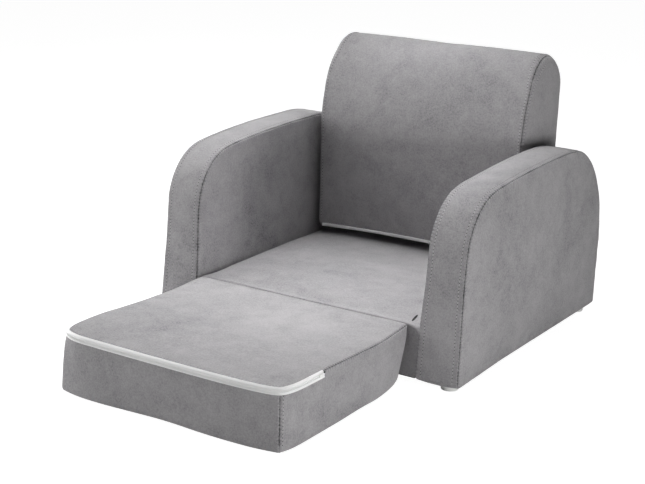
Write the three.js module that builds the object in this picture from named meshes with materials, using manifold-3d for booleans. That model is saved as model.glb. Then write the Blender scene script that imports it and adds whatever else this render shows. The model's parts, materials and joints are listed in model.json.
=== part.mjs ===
import * as THREE from "three";
import { mergeVertices } from "three/addons/utils/BufferGeometryUtils.js";
import Module from "manifold-3d";

// A child's flip-open sofa in millimetres, +Z up. The flip pad lies on the floor in front, towards -Y.
// Sofa places are counted from the floor, the middle of the width and the arms' lower front corners.
// The exported group then moves them so that the origin is under the middle of the whole outline.

const wasm = await Module();
wasm.setup();

// Clearances
const FIT = 0.3; // between pieces that lie against each other
const BOLT_CLEARANCE = 0.4; // round a bolt, nail or nut in its hole
const OVERRUN = 5; // how far a cut runs past what it cuts
const SAME_POINT = 0.0001; // vertices closer than this are one

// Fabric, foam and board
const COVER_THICKNESS = 2; // suede cloth on its fleece backing
const HEM_WIDTH = 12; // cloth turned under an open cover
const PANEL_THICKNESS = 5; // plywood sheets
const DUST_THICKNESS = 1; // non-woven sheet under the seat

// Seat base
const SEAT_WIDTH = 400; // between the inner seams of the two arms
const SEAT_CROWN = 3;
const SEAT_FOAM_THICKNESS = 27;
const SEAT_EDGE_ROUND = 8;
const SEAT_CORNER_RADIUS = 6;
const SEAT_FRONT_LEAN = 14; // the front face comes forward towards the floor
const SEAT_RAIL_HEIGHT = 38;
const RAIL_THICKNESS = 18;

// Flip pad
const PAD_LENGTH = 316; // hinge axis to the front of the bow
const PAD_CROWN = 3;
const PAD_SIDE_GAP = 3.2; // to the crown of each arm
const PAD_FLARE = 4.5; // how much wider each side is at the front
const PAD_FRONT_BOW = 6;
const PAD_FOOT_BOW = 4; // the bow at the floor
const PAD_CORNER_RADIUS = 42;
const PAD_FOOT_RADIUS = 20; // the front corners at the floor
const PAD_REAR_RADIUS = 10;
const PAD_EDGE_ROUND = 4;
const PAD_FOOT_ROUND = 12;
const PAD_REAR_SLANT = 42; // how far the rear face leans forward at the floor
const HINGE_Y = 5; // the axis, behind the arms' front corners
const HINGE_GAP = 4; // between the pad's and the seat's upper edges
const GAP_BEHIND_AXIS = 10; // the middle of that gap
const PAD_TO_BACK = 4.5; // between the shut pad and the backrest's front seams

// Hinge strip, sewn to the facing edges of seat and pad and folded into the gap between them
const STRIP_THICKNESS = 0.9;
const STRIP_DROP = 10; // how deep the folded slack hangs
const STRIP_BELOW_EDGE = 1;
const STRIP_END_INSET = 8;

// Arms
const ARM_THICKNESS = 63; // seam to seam
const ARM_CROWN = 4;
const ARM_BAND_BULGE = 1.5;
const ARM_HEIGHT = 287;
const ARM_TOP_RISE = 12;
const ARM_FRONT_LEAN = 15;
const ARM_REAR_LEAN = 5;
const ARM_FRONT_ROUND_DEPTH = 82;
const ARM_FRONT_ROUND_HEIGHT = 85;
const ARM_REAR_ROUND_DEPTH = 122;
const ARM_REAR_ROUND_HEIGHT = 157;
const ARM_EDGE_ROUND = 4;
const ARM_BEHIND_BACK = 18; // how far the arms reach behind the backrest
const ARM_FOAM_FACE = 7; // foam on the side panels
const ARM_FOAM_EDGE = 12; // foam round the front, top and back
const ARM_RAIL_HEIGHT = 45;
const ARM_POST_DEPTH = 30;
const ARM_POST_SETBACK = 4;
const ARM_TOP_RAIL_HEIGHT = 18;

// Backrest
const BACK_HEIGHT = 323;
const BACK_THICKNESS = 134;
const BACK_UNDER_GAP = 8; // above the crown of the seat
const BACK_SIDE_GAP = 1.5; // to the crown of each arm
const BACK_SIDE_CROWN = 8;
const BACK_FACE_CROWN = 5;
const BACK_TOP_RADIUS = 14; // upper corners seen from the front
const BACK_ROLL_HEIGHT = 153; // the rolled front edge of the top
const BACK_ROLL_DEPTH = 78;
const BACK_REAR_ROUND_HEIGHT = 50;
const BACK_REAR_LEAN = 9; // the rear face runs in towards the bottom
const BACK_EDGE_ROUND = 3;
const BACK_POST_WIDTH = 30;
const BACK_POST_DEPTH = 20;
const BACK_POST_INSET = 34; // from the side seams
const BACK_FRAME_BELOW_TOP = 78;
const BACK_RAIL_HEIGHT = 28;

// Zips
const PAD_ZIP_WIDTH = 10; // of the tape
const BACK_ZIP_WIDTH = 7;
const ZIP_TAPE_THICKNESS = 1.2;
const ZIP_COIL_WIDTH = 4.2;
const ZIP_COIL_HEIGHT = 1.2;
const PAD_ZIP_BELOW_EDGE = 0.9; // top of the tape below the pad's upper edge
const PAD_ZIP_SIDE_RUN = 96; // how far it runs back from the pad's front
const BACK_ZIP_LIFT = 1.2; // tape above the backrest's lower edge
const BACK_ZIP_INSET = 9; // from the backrest's side seams
const SLIDER_LENGTH = 11;
const SLIDER_WIDTH = 7.4;
const SLIDER_PLATE = 1.2;
const SLIDER_NOSE = 2.2;

// Feet, nails, bolts and nuts
const FOOT_HEIGHT = 10;
const FOOT_RADIUS = 13;
const FOOT_CHAMFER = 1.5;
const FOOT_INSET = 24; // from the front and rear of the arm
const FOOT_OUTWARD = 9; // from the middle of the arm's thickness
const NAIL_RADIUS = 1.6;
const NAIL_LENGTH = 22;
const NAIL_HEAD_RADIUS = 4;
const NAIL_HEAD_HEIGHT = 1.4;
const NAIL_HEAD_DEPTH = 4.5; // below the top of the foot
const BOLT_RADIUS = 3;
const BOLT_HEAD_RADIUS = 6.5;
const BOLT_HEAD_HEIGHT = 4;
const NUT_RADIUS = 4.2;
const NUT_LENGTH = 9;
const NUT_FLANGE_RADIUS = 8.5;
const NUT_FLANGE_THICKNESS = 1.4;
const ARM_BOLT_INSET = 64; // from the front and rear of the seat

// Facets
const ARC_STEPS = 8; // on each large curve of an arm or the backrest
const BACK_REAR_STEPS = 6;
const PAD_CORNER_STEPS = 5;
const SEAT_CORNER_STEPS = 2;
const PAD_SPARE_POINTS = 2; // between two corners
const PAD_FRONT_POINTS = 5; // along the bowed front
const SEAT_SPARE_POINTS = 1;
const ROUND_STEPS = 12; // round a bolt, nail or nut
const FOOT_STEPS = 16;

// Heights of the seat's layers
const BASE_Z = FOOT_HEIGHT + FIT;
const SEAT_HEM_Z = BASE_Z + DUST_THICKNESS + FIT;
const SEAT_RAIL_Z = SEAT_HEM_Z + COVER_THICKNESS + FIT;
const DECK_Z = SEAT_RAIL_Z + SEAT_RAIL_HEIGHT + FIT;
const SEAT_FOAM_Z = DECK_Z + PANEL_THICKNESS + FIT;
const SEAT_EDGE_Z = SEAT_FOAM_Z + SEAT_FOAM_THICKNESS + FIT + COVER_THICKNESS;
const HINGE_Z = SEAT_EDGE_Z + Math.max(SEAT_CROWN, PAD_CROWN) + FIT; // shut, the two crowns lie face to face
const BOLT_Z = SEAT_RAIL_Z + SEAT_RAIL_HEIGHT / 2;

// Places along the depth
const GAP_Y = HINGE_Y + GAP_BEHIND_AXIS;
const SEAT_FRONT_Y = GAP_Y + HINGE_GAP / 2;
const PAD_REAR_Y = GAP_Y - HINGE_GAP / 2;
const PAD_FRONT_Y = HINGE_Y - PAD_LENGTH;
const BACK_FRONT_Y = HINGE_Y + PAD_LENGTH + PAD_TO_BACK;
const BACK_REAR_Y = BACK_FRONT_Y + BACK_THICKNESS;
const SEAT_REAR_Y = BACK_REAR_Y - BACK_REAR_LEAN;
const ARM_DEPTH = BACK_REAR_Y + ARM_BEHIND_BACK;
const ORIGIN_Y = (PAD_FRONT_Y - ZIP_COIL_HEIGHT + ARM_DEPTH + ARM_BAND_BULGE) / 2;

// Places across the width
const LINING = COVER_THICKNESS + FIT; // cover and its fit, on what it covers
const SEAT_HALF = SEAT_WIDTH / 2 - ARM_CROWN - FIT;
const PAD_HALF = SEAT_WIDTH / 2 - ARM_CROWN - PAD_SIDE_GAP - PAD_FLARE;
const BACK_HALF = SEAT_WIDTH / 2 - ARM_CROWN - BACK_SIDE_GAP - BACK_SIDE_CROWN;
const ARM_X = SEAT_WIDTH / 2 + ARM_THICKNESS / 2;

const SUEDE = { color: 0x8e8c8d, roughness: 0.95, metalness: 0 };
const FOAM = { color: 0xe9e2c4, roughness: 1, metalness: 0 };
const PLYWOOD = { color: 0xc8a878, roughness: 0.8, metalness: 0 };
const TIMBER = { color: 0xd6b98a, roughness: 0.8, metalness: 0 };
const NON_WOVEN = { color: 0x2a2a2c, roughness: 1, metalness: 0 };
const WHITE_NYLON = { color: 0xf2f2f0, roughness: 0.55, metalness: 0 };
const WHITE_PLASTIC = { color: 0xe8e8e4, roughness: 0.4, metalness: 0 };
const ZINC_STEEL = { color: 0xb9bcc0, roughness: 0.35, metalness: 1 };

// A closed three.js geometry as a solid that can be joined and cut.
function solid(geometry) {
  const bare = geometry.clone();
  bare.deleteAttribute("normal");
  bare.deleteAttribute("uv");
  const merged = mergeVertices(bare, SAME_POINT);
  const mesh = new wasm.Mesh({
    numProp: 3,
    vertProperties: new Float32Array(merged.attributes.position.array),
    triVerts: new Uint32Array(merged.index.array),
  });
  return new wasm.Manifold(mesh);
}

// The solid back as a named mesh with its material.
function piece(name, body, look) {
  const mesh = body.getMesh();
  const stride = mesh.numProp;
  const points = new Float32Array(mesh.numVert * 3);
  for (let i = 0; i < mesh.numVert; i++) {
    points.set(mesh.vertProperties.subarray(i * stride, i * stride + 3), i * 3);
  }
  const geometry = new THREE.BufferGeometry();
  geometry.setAttribute("position", new THREE.BufferAttribute(points, 3));
  geometry.setIndex(new THREE.BufferAttribute(new Uint32Array(mesh.triVerts), 1));
  geometry.computeVertexNormals();
  const made = new THREE.Mesh(geometry, new THREE.MeshStandardMaterial(look));
  made.name = name;
  return made;
}

function group(...children) {
  const made = new THREE.Group();
  made.add(...children);
  return made;
}

function block([x0, x1], [y0, y1], [z0, z1]) {
  const geometry = new THREE.BoxGeometry(Math.abs(x1 - x0), y1 - y0, z1 - z0);
  geometry.translate((x0 + x1) / 2, (y0 + y1) / 2, (z0 + z1) / 2);
  return solid(geometry);
}

// A round bar from a point, running along a unit direction.
function bar(radius, length, [x, y, z], direction) {
  const geometry = new THREE.CylinderGeometry(radius, radius, length, ROUND_STEPS);
  geometry.translate(0, length / 2, 0);
  const turn = new THREE.Quaternion();
  turn.setFromUnitVectors(new THREE.Vector3(0, 1, 0), new THREE.Vector3(...direction));
  geometry.applyQuaternion(turn);
  geometry.translate(x, y, z);
  return solid(geometry);
}

// A closed skin through rings of equally many points, with a fan to the middle of both end rings.
function loft(rings) {
  const count = rings[0].length;
  const middle = (ring) => {
    const sum = new THREE.Vector3();
    ring.forEach((point) => sum.add(point));
    return sum.divideScalar(count);
  };
  const first = rings[0].apex ?? middle(rings[0]);
  const last = rings.at(-1).apex ?? middle(rings.at(-1));
  const points = [first, ...rings.flat(), last];
  const index = [];
  const at = (ring, i) => 1 + ring * count + (i % count);
  for (let i = 0; i < count; i++) {
    index.push(0, at(0, i + 1), at(0, i));
    index.push(points.length - 1, at(rings.length - 1, i), at(rings.length - 1, i + 1));
    for (let ring = 0; ring < rings.length - 1; ring++) {
      index.push(at(ring, i), at(ring, i + 1), at(ring + 1, i + 1));
      index.push(at(ring, i), at(ring + 1, i + 1), at(ring + 1, i));
    }
  }
  return facingOut(points, index);
}

// A solid from points and triangles, its faces turned out if they point inwards.
function facingOut(points, index) {
  const geometry = new THREE.BufferGeometry();
  const values = points.flatMap((point) => point.toArray());
  geometry.setAttribute("position", new THREE.Float32BufferAttribute(values, 3));
  geometry.setIndex(index);
  const body = solid(geometry);
  if (body.volume() > 0) return body;
  geometry.setIndex(index.reverse());
  return solid(geometry);
}

// Rings from a middle to a side, and the same rings on the other side in front of them.
function bothSides(middle, side) {
  const flip = (point) => new THREE.Vector3(-point.x, point.y, point.z);
  const mirrored = side.map((ring) => {
    const copy = ring.map(flip);
    if (ring.apex) copy.apex = flip(ring.apex);
    return copy;
  });
  return [...mirrored.reverse(), middle, ...side];
}

// Points of an elliptic arc, both ends included.
function arc([u, v], [ru, rv], from, to, steps = ARC_STEPS) {
  return Array.from({ length: steps + 1 }, (_, i) => {
    const angle = THREE.MathUtils.degToRad(from + ((to - from) * i) / steps);
    return [u + ru * Math.cos(angle), v + rv * Math.sin(angle)];
  });
}

// Points strictly between two ends, evenly spread.
function between([u0, v0], [u1, v1], count) {
  return Array.from({ length: count }, (_, i) => {
    const share = (i + 1) / (count + 1);
    return [u0 + (u1 - u0) * share, v0 + (v1 - v0) * share];
  });
}

// Arms

const ARM_FRONT_ARC = [
  ARM_FRONT_LEAN + ARM_FRONT_ROUND_DEPTH,
  ARM_HEIGHT - ARM_TOP_RISE - ARM_FRONT_ROUND_HEIGHT,
];
const ARM_REAR_ARC = [ARM_DEPTH - ARM_REAR_ROUND_DEPTH, ARM_HEIGHT - ARM_REAR_ROUND_HEIGHT];
const ARM_MIDDLE = [ARM_DEPTH / 2, (BASE_Z + ARM_HEIGHT) / 2];
const ARM_CROWN_SHARES = [0.82, 0.48];
const BOARD_INSET = LINING + ARM_FOAM_EDGE + FIT;
const ARM_FRAME_HALF = ARM_THICKNESS / 2 - LINING - ARM_FOAM_FACE - FIT;
const ARM_FRAME_Z = BASE_Z + LINING;

// The arm seen from its side, as [y, z], drawn in by an inset.
function armOutline(inset, footInset = inset) {
  const foot = BASE_Z + footInset;
  const frontLean = (ARM_FRONT_LEAN * footInset) / (ARM_FRONT_ARC[1] - BASE_Z);
  const rearLean = ARM_REAR_LEAN * (1 - footInset / (ARM_REAR_ARC[1] - BASE_Z));
  const frontFoot = [inset + frontLean, foot];
  const rearFoot = [ARM_DEPTH - rearLean - inset, foot];
  const frontSize = [ARM_FRONT_ROUND_DEPTH - inset, ARM_FRONT_ROUND_HEIGHT - inset];
  const rearSize = [ARM_REAR_ROUND_DEPTH - inset, ARM_REAR_ROUND_HEIGHT - inset];
  const front = arc(ARM_FRONT_ARC, frontSize, 180, 90);
  const rear = arc(ARM_REAR_ARC, rearSize, 90, 0);
  return [
    frontFoot,
    ...between(frontFoot, front[0], 1),
    ...front,
    ...between(front.at(-1), rear[0], 2),
    ...rear,
    ...between(rear.at(-1), rearFoot, 1),
    rearFoot,
    ...between(rearFoot, frontFoot, 3),
  ];
}

function armRing(x, inset, share = 1, footInset = inset) {
  const [my, mz] = ARM_MIDDLE;
  return armOutline(inset, footInset).map(
    ([y, z]) => new THREE.Vector3(x, my + (y - my) * share, mz + (z - mz) * share),
  );
}

// The stuffed arm: crowned side panels, rounded seams and a slightly full band between them.
function armForm(inset) {
  const half = ARM_THICKNESS / 2 - inset;
  const side = [
    armRing(half - ARM_EDGE_ROUND, inset),
    armRing(half, inset + ARM_EDGE_ROUND),
    ...ARM_CROWN_SHARES.map((share) =>
      armRing(half + ARM_CROWN * (1 - share * share), inset + ARM_EDGE_ROUND, share),
    ),
  ];
  side.at(-1).apex = new THREE.Vector3(half + ARM_CROWN, ...ARM_MIDDLE);
  const band = armRing(0, inset - ARM_BAND_BULGE, 1, inset);
  return loft(bothSides(band, side));
}

// A flat board cut to the arm's side view.
function armBoard(x0, x1, inset, footInset) {
  return loft([armRing(x0, inset, 1, footInset), armRing(x1, inset, 1, footInset)]);
}

// Where a board's front and rear edges are at a height.
function frontEdgeAt(z, inset) {
  const rise = Math.max(z - ARM_FRONT_ARC[1], 0) / (ARM_FRONT_ROUND_HEIGHT - inset);
  const below = Math.max(ARM_FRONT_ARC[1] - z, 0) / (ARM_FRONT_ARC[1] - BASE_Z);
  const reach = (ARM_FRONT_ROUND_DEPTH - inset) * Math.sqrt(1 - rise * rise);
  return ARM_FRONT_ARC[0] - reach - ARM_FRONT_LEAN * below;
}

function rearEdgeAt(z, inset) {
  const rise = Math.max(z - ARM_REAR_ARC[1], 0) / (ARM_REAR_ROUND_HEIGHT - inset);
  const below = Math.max(ARM_REAR_ARC[1] - z, 0) / (ARM_REAR_ARC[1] - BASE_Z);
  const reach = (ARM_REAR_ROUND_DEPTH - inset) * Math.sqrt(1 - rise * rise);
  return ARM_REAR_ARC[0] + reach - ARM_REAR_LEAN * below;
}

const ARM_BOLT_YS = [SEAT_FRONT_Y + ARM_BOLT_INSET, SEAT_REAR_Y - ARM_BOLT_INSET];
const ARM_RAIL_HALF = ARM_FRAME_HALF - PANEL_THICKNESS - FIT;
const FOOT_X = ARM_X + FOOT_OUTWARD;
const FOOT_YS = [FOOT_INSET, ARM_DEPTH - ARM_REAR_LEAN - FOOT_INSET];
const NAIL_Z = FOOT_HEIGHT - NAIL_HEAD_DEPTH;

// Holes through everything between the seat's side rail and the far face of the arm's lower rail.
function armBoltHoles(side) {
  const start = SEAT_HALF - LINING - RAIL_THICKNESS - OVERRUN;
  const length = ARM_X + ARM_RAIL_HALF - start + OVERRUN;
  const radius = BOLT_RADIUS + BOLT_CLEARANCE;
  return ARM_BOLT_YS.map((y) => bar(radius, length, [side * start, y, BOLT_Z], [side, 0, 0]));
}

function cutAll(body, cuts) {
  return cuts.reduce((left, cut) => left.subtract(cut), body);
}

// The stepped hole for a nut whose flange is sunk into a face.
function nutHole([x, y, z], direction) {
  const recess = NUT_FLANGE_THICKNESS + FIT;
  const inward = (depth) => [x - direction[0] * depth, y - direction[1] * depth, z];
  return [
    bar(NUT_RADIUS + BOLT_CLEARANCE, NUT_LENGTH + OVERRUN, inward(NUT_LENGTH), direction),
    bar(NUT_FLANGE_RADIUS + BOLT_CLEARANCE, recess + OVERRUN, inward(recess), direction),
  ];
}

function arm(label, side) {
  const moved = (body) => body.translate([side * ARM_X, 0, 0]);
  const holes = armBoltHoles(side);
  const mouth = block(
    [-ARM_THICKNESS / 2 + HEM_WIDTH, ARM_THICKNESS / 2 - HEM_WIDTH],
    [HEM_WIDTH, ARM_DEPTH - ARM_REAR_LEAN - HEM_WIDTH],
    [BASE_Z - OVERRUN, BASE_Z + OVERRUN],
  );
  const cover = moved(armForm(0).subtract(armForm(COVER_THICKNESS)).subtract(mouth));
  const pocketHalf = ARM_FRAME_HALF + FIT;
  const pocket = armBoard(-pocketHalf, pocketHalf, BOARD_INSET - FIT, -OVERRUN);
  const foam = moved(armForm(LINING).subtract(pocket));
  const boardFaces = [ARM_FRAME_HALF, ARM_FRAME_HALF - PANEL_THICKNESS];
  const board = (sign) => moved(armBoard(sign * boardFaces[0], sign * boardFaces[1], BOARD_INSET, LINING));

  const nailHoles = FOOT_YS.map((y) => {
    const start = [side * FOOT_X, y, NAIL_Z];
    return bar(NAIL_RADIUS + BOLT_CLEARANCE, NAIL_LENGTH + OVERRUN, start, [0, 0, 1]);
  });
  const nutFace = side * (ARM_X + ARM_RAIL_HALF);
  const nutHoles = ARM_BOLT_YS.flatMap((y) => nutHole([nutFace, y, BOLT_Z], [side, 0, 0]));
  const { lowerRail, upperRail, frontPost, rearPost } = armFrame();
  return group(
    piece(`arm_cover_${label}`, cutAll(cover, holes), SUEDE),
    piece(`arm_foam_${label}`, cutAll(foam, holes), FOAM),
    piece(`arm_inner_panel_${label}`, cutAll(board(-side), holes), PLYWOOD),
    piece(`arm_outer_panel_${label}`, board(side), PLYWOOD),
    piece(`arm_lower_rail_${label}`, cutAll(moved(lowerRail), [...holes, ...nutHoles, ...nailHoles]), TIMBER),
    piece(`arm_upper_rail_${label}`, moved(upperRail), TIMBER),
    piece(`arm_front_post_${label}`, moved(frontPost), TIMBER),
    piece(`arm_rear_post_${label}`, moved(rearPost), TIMBER),
  );
}

// The timber between an arm's two boards: a deep lower rail, two posts on it and a rail on those.
function armFrame() {
  const across = [-ARM_RAIL_HALF, ARM_RAIL_HALF];
  const railTop = ARM_FRAME_Z + ARM_RAIL_HEIGHT;
  const postTop = Math.max(ARM_FRONT_ARC[1], railTop + ARM_POST_DEPTH);
  const topRailZ = [postTop + FIT, postTop + FIT + ARM_TOP_RAIL_HEIGHT];
  const front = frontEdgeAt(topRailZ[1], BOARD_INSET) + ARM_POST_SETBACK;
  const rear = rearEdgeAt(topRailZ[1], BOARD_INSET) - ARM_POST_SETBACK;
  const lowerFront = frontEdgeAt(railTop, BOARD_INSET) + FIT;
  const lowerRear = rearEdgeAt(ARM_FRAME_Z, BOARD_INSET) - FIT;
  const post = (y) => block(across, [y, y + ARM_POST_DEPTH], [railTop + FIT, postTop]);
  return {
    lowerRail: block(across, [lowerFront, lowerRear], [ARM_FRAME_Z, railTop]),
    upperRail: block(across, [front, rear], topRailZ),
    frontPost: post(front),
    rearPost: post(rear - ARM_POST_DEPTH),
  };
}

function foot(label, side, y) {
  const rim = FOOT_RADIUS - FOOT_CHAMFER;
  const profile = [
    [0, 0],
    [rim, 0],
    [FOOT_RADIUS, FOOT_CHAMFER],
    [FOOT_RADIUS, FOOT_HEIGHT],
    [0, FOOT_HEIGHT],
  ].map(([r, z]) => new THREE.Vector2(r, z));
  const cup = new THREE.LatheGeometry(profile, FOOT_STEPS).rotateX(Math.PI / 2);
  cup.translate(side * FOOT_X, y, 0);
  const upright = (radius, length, z) => bar(radius, length, [side * FOOT_X, y, z], [0, 0, 1]);
  const well = upright(NAIL_HEAD_RADIUS + BOLT_CLEARANCE, NAIL_HEAD_DEPTH + FIT + OVERRUN, NAIL_Z - FIT);
  const head = upright(NAIL_HEAD_RADIUS, NAIL_HEAD_HEIGHT, NAIL_Z);
  const shank = upright(NAIL_RADIUS, NAIL_LENGTH, NAIL_Z);
  return group(
    piece(`foot_${label}`, solid(cup).subtract(well), WHITE_PLASTIC),
    piece(`foot_nail_${label}`, head.add(shank), ZINC_STEEL),
  );
}

// A bolt with its nut: the head lies on one side, the nut's flange in the far face.
function boltAndNut(label, start, direction, grip) {
  const round = (radius, from, to) => {
    const point = start.map((value, axis) => value + direction[axis] * from);
    return bar(radius, to - from, point, direction);
  };
  const head = round(BOLT_HEAD_RADIUS, -BOLT_HEAD_HEIGHT - FIT, -FIT);
  const shank = round(BOLT_RADIUS, -BOLT_HEAD_HEIGHT / 2, grip);
  const flange = round(NUT_FLANGE_RADIUS, grip - NUT_FLANGE_THICKNESS, grip);
  const barrel = round(NUT_RADIUS, grip - NUT_LENGTH + FIT, grip);
  const thread = round(BOLT_RADIUS + FIT, grip - NUT_LENGTH - OVERRUN, grip + OVERRUN);
  return group(
    piece(`bolt_${label}`, head.add(shank), ZINC_STEEL),
    piece(`tee_nut_${label}`, flange.add(barrel).subtract(thread), ZINC_STEEL),
  );
}

function armBolt(label, side, y) {
  const railFace = SEAT_HALF - LINING - RAIL_THICKNESS;
  const grip = ARM_X + ARM_RAIL_HALF - railFace;
  return boltAndNut(label, [side * railFace, y, BOLT_Z], [side, 0, 0], grip);
}

// Backrest

const BACK_BOTTOM_Z = SEAT_EDGE_Z + SEAT_CROWN + BACK_UNDER_GAP;
const BACK_TOP_Z = BACK_BOTTOM_Z + BACK_HEIGHT;
const BACK_ROLL_SHARES = [
  [0, 0.47],
  [0.38, 0.96],
]; // the curve's two handles, across and up the roll
const BACK_WIDTH_SHARES = [0.28, 0.56];
const BACK_CORNER_ANGLES = [40, 78]; // degrees round the upper corners
const BACK_SIDE_SHARES = [0.78, 0.4];
const BACK_MIDDLE = [(BACK_FRONT_Y + BACK_REAR_Y) / 2, (BACK_BOTTOM_Z + BACK_TOP_Z) / 2];

// The backrest seen from its side, as [y, z], drawn in by an inset and lowered at the top by a drop.
function backOutline(inset, drop) {
  const top = BACK_TOP_Z - inset - drop;
  const bottom = BACK_BOTTOM_Z + inset;
  const front = BACK_FRONT_Y + inset;
  const rear = BACK_REAR_Y - inset;
  const rollStart = [front, BACK_TOP_Z - BACK_ROLL_HEIGHT];
  const rollEnd = [BACK_FRONT_Y + BACK_ROLL_DEPTH, top];
  const rollHeight = top - rollStart[1];
  const handles = BACK_ROLL_SHARES.map(
    ([y, z]) => new THREE.Vector2(front + (rollEnd[0] - front) * y, rollStart[1] + rollHeight * z),
  );
  const rollEnds = [rollStart, rollEnd].map((point) => new THREE.Vector2(...point));
  const roll = new THREE.CubicBezierCurve(rollEnds[0], ...handles, rollEnds[1]);
  const rearSize = [rear - rollEnd[0], Math.min(BACK_REAR_ROUND_HEIGHT, rollHeight) - inset];
  const rearArc = arc([rollEnd[0], top - rearSize[1]], rearSize, 90, 0, BACK_REAR_STEPS);
  const edge = BACK_EDGE_ROUND;
  const rearFoot = [rear - BACK_REAR_LEAN, bottom + edge];
  return [
    [front + edge, bottom],
    [front, bottom + edge],
    ...between([front, bottom + edge], rollStart, 2),
    ...roll.getPoints(ARC_STEPS).map((p) => [p.x, p.y]),
    ...rearArc.slice(1),
    ...between(rearArc.at(-1), rearFoot, 2),
    rearFoot,
    [rearFoot[0] - edge, bottom],
    ...between([rearFoot[0] - edge, bottom], [front + edge, bottom], 2),
  ];
}

// How far the face swells at a place across the width and up the height.
function backSwell(x, z) {
  const across = 1 - (x / BACK_HALF) ** 2;
  const up = THREE.MathUtils.clamp((z - BACK_BOTTOM_Z) / BACK_HEIGHT, 0, 1);
  return BACK_FACE_CROWN * across * Math.sin(Math.PI * up);
}

function backRing(x, inset, drop, share = 1) {
  const [my, mz] = BACK_MIDDLE;
  return backOutline(inset, drop).map(([y, z]) => {
    const swell = share === 1 ? backSwell(Math.min(x, BACK_HALF), z) : 0;
    const out = y < my ? -swell : swell;
    return new THREE.Vector3(x, my + (y - my) * share + out, mz + (z - mz) * share);
  });
}

function backForm(inset) {
  const half = BACK_HALF - inset;
  const straight = half - BACK_TOP_RADIUS;
  const side = [
    ...BACK_WIDTH_SHARES.map((share) => backRing(half * share, inset, 0)),
    backRing(straight, inset, 0),
    ...BACK_CORNER_ANGLES.map((degrees) => {
      const angle = THREE.MathUtils.degToRad(degrees);
      const drop = BACK_TOP_RADIUS * (1 - Math.cos(angle));
      return backRing(straight + BACK_TOP_RADIUS * Math.sin(angle), inset, drop);
    }),
    ...BACK_SIDE_SHARES.map((share) =>
      backRing(half + BACK_SIDE_CROWN * (1 - share * share), inset, BACK_TOP_RADIUS, share),
    ),
  ];
  side.at(-1).apex = new THREE.Vector3(half + BACK_SIDE_CROWN, ...BACK_MIDDLE);
  return loft(bothSides(backRing(0, inset, 0), side));
}

const SEAT_REAR_RAIL_Y = SEAT_REAR_Y - LINING - RAIL_THICKNESS;
const POST_Y = [SEAT_REAR_RAIL_Y - FIT - BACK_POST_DEPTH, SEAT_REAR_RAIL_Y - FIT];
const POST_X = BACK_HALF - BACK_POST_INSET;
const BACK_FRAME_TOP_Z = BACK_TOP_Z - BACK_FRAME_BELOW_TOP;
const BACK_ZIP_HALF = BACK_HALF - BACK_ZIP_INSET;

function postBlock(side, clearance = 0) {
  const middle = side * POST_X;
  const half = BACK_POST_WIDTH / 2 + clearance;
  return block(
    [middle - half, middle + half],
    [POST_Y[0] - clearance, POST_Y[1] + clearance],
    [SEAT_RAIL_Z, BACK_FRAME_TOP_Z],
  );
}

// A zip's section as [out, up]: a flat tape with the raised coil along its middle.
function zipSection(width) {
  const tape = width / 2;
  const coil = ZIP_COIL_WIDTH / 2;
  return [
    [-ZIP_TAPE_THICKNESS, -tape],
    [0, -tape],
    [0, -coil],
    [ZIP_COIL_HEIGHT, -coil],
    [ZIP_COIL_HEIGHT, coil],
    [0, coil],
    [0, tape],
    [-ZIP_TAPE_THICKNESS, tape],
  ];
}

// The section of the slit in a cover that a zip of that width closes.
function slitSection(width) {
  const half = width / 2 + FIT;
  const depth = COVER_THICKNESS + OVERRUN;
  return [
    [-depth, -half],
    [OVERRUN, -half],
    [OVERRUN, half],
    [-depth, half],
  ];
}

const BACK_ZIP_Z = BACK_BOTTOM_Z + BACK_ZIP_LIFT + BACK_ZIP_WIDTH / 2;

// A straight run of a section along the backrest's lower front edge.
function alongBackEdge(half, section) {
  const place = (x) => section.map(([out, up]) => new THREE.Vector3(x, BACK_FRONT_Y - out, BACK_ZIP_Z + up));
  return prism([place(-half), place(half)]);
}

// A bar between two or more equal flat sections, capped by their own triangles.
function prism(rings) {
  const count = rings[0].length;
  const flat = rings[0].map((p) => p.clone().sub(rings[0][0]));
  const [u, v] = planeAxes(flat);
  const contour = flat.map((p) => new THREE.Vector2(p.dot(u), p.dot(v)));
  const caps = THREE.ShapeUtils.triangulateShape(contour, []);
  const index = [];
  const last = (rings.length - 1) * count;
  caps.forEach(([a, b, c]) => {
    index.push(a, c, b);
    index.push(last + a, last + b, last + c);
  });
  for (let ring = 0; ring < rings.length - 1; ring++) {
    for (let i = 0; i < count; i++) {
      const a = ring * count + i;
      const b = ring * count + ((i + 1) % count);
      index.push(a, b, b + count);
      index.push(a, b + count, a + count);
    }
  }
  return facingOut(rings.flat(), index);
}

// Two square directions in the plane that holds a flat set of points.
function planeAxes(points) {
  const u = points.find((p) => p.lengthSq() > 0).clone().normalize();
  const normal = new THREE.Vector3();
  points.forEach((p) => {
    const cross = new THREE.Vector3().crossVectors(u, p);
    if (cross.lengthSq() > normal.lengthSq()) normal.copy(cross);
  });
  return [u, new THREE.Vector3().crossVectors(normal.normalize(), u)];
}

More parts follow.
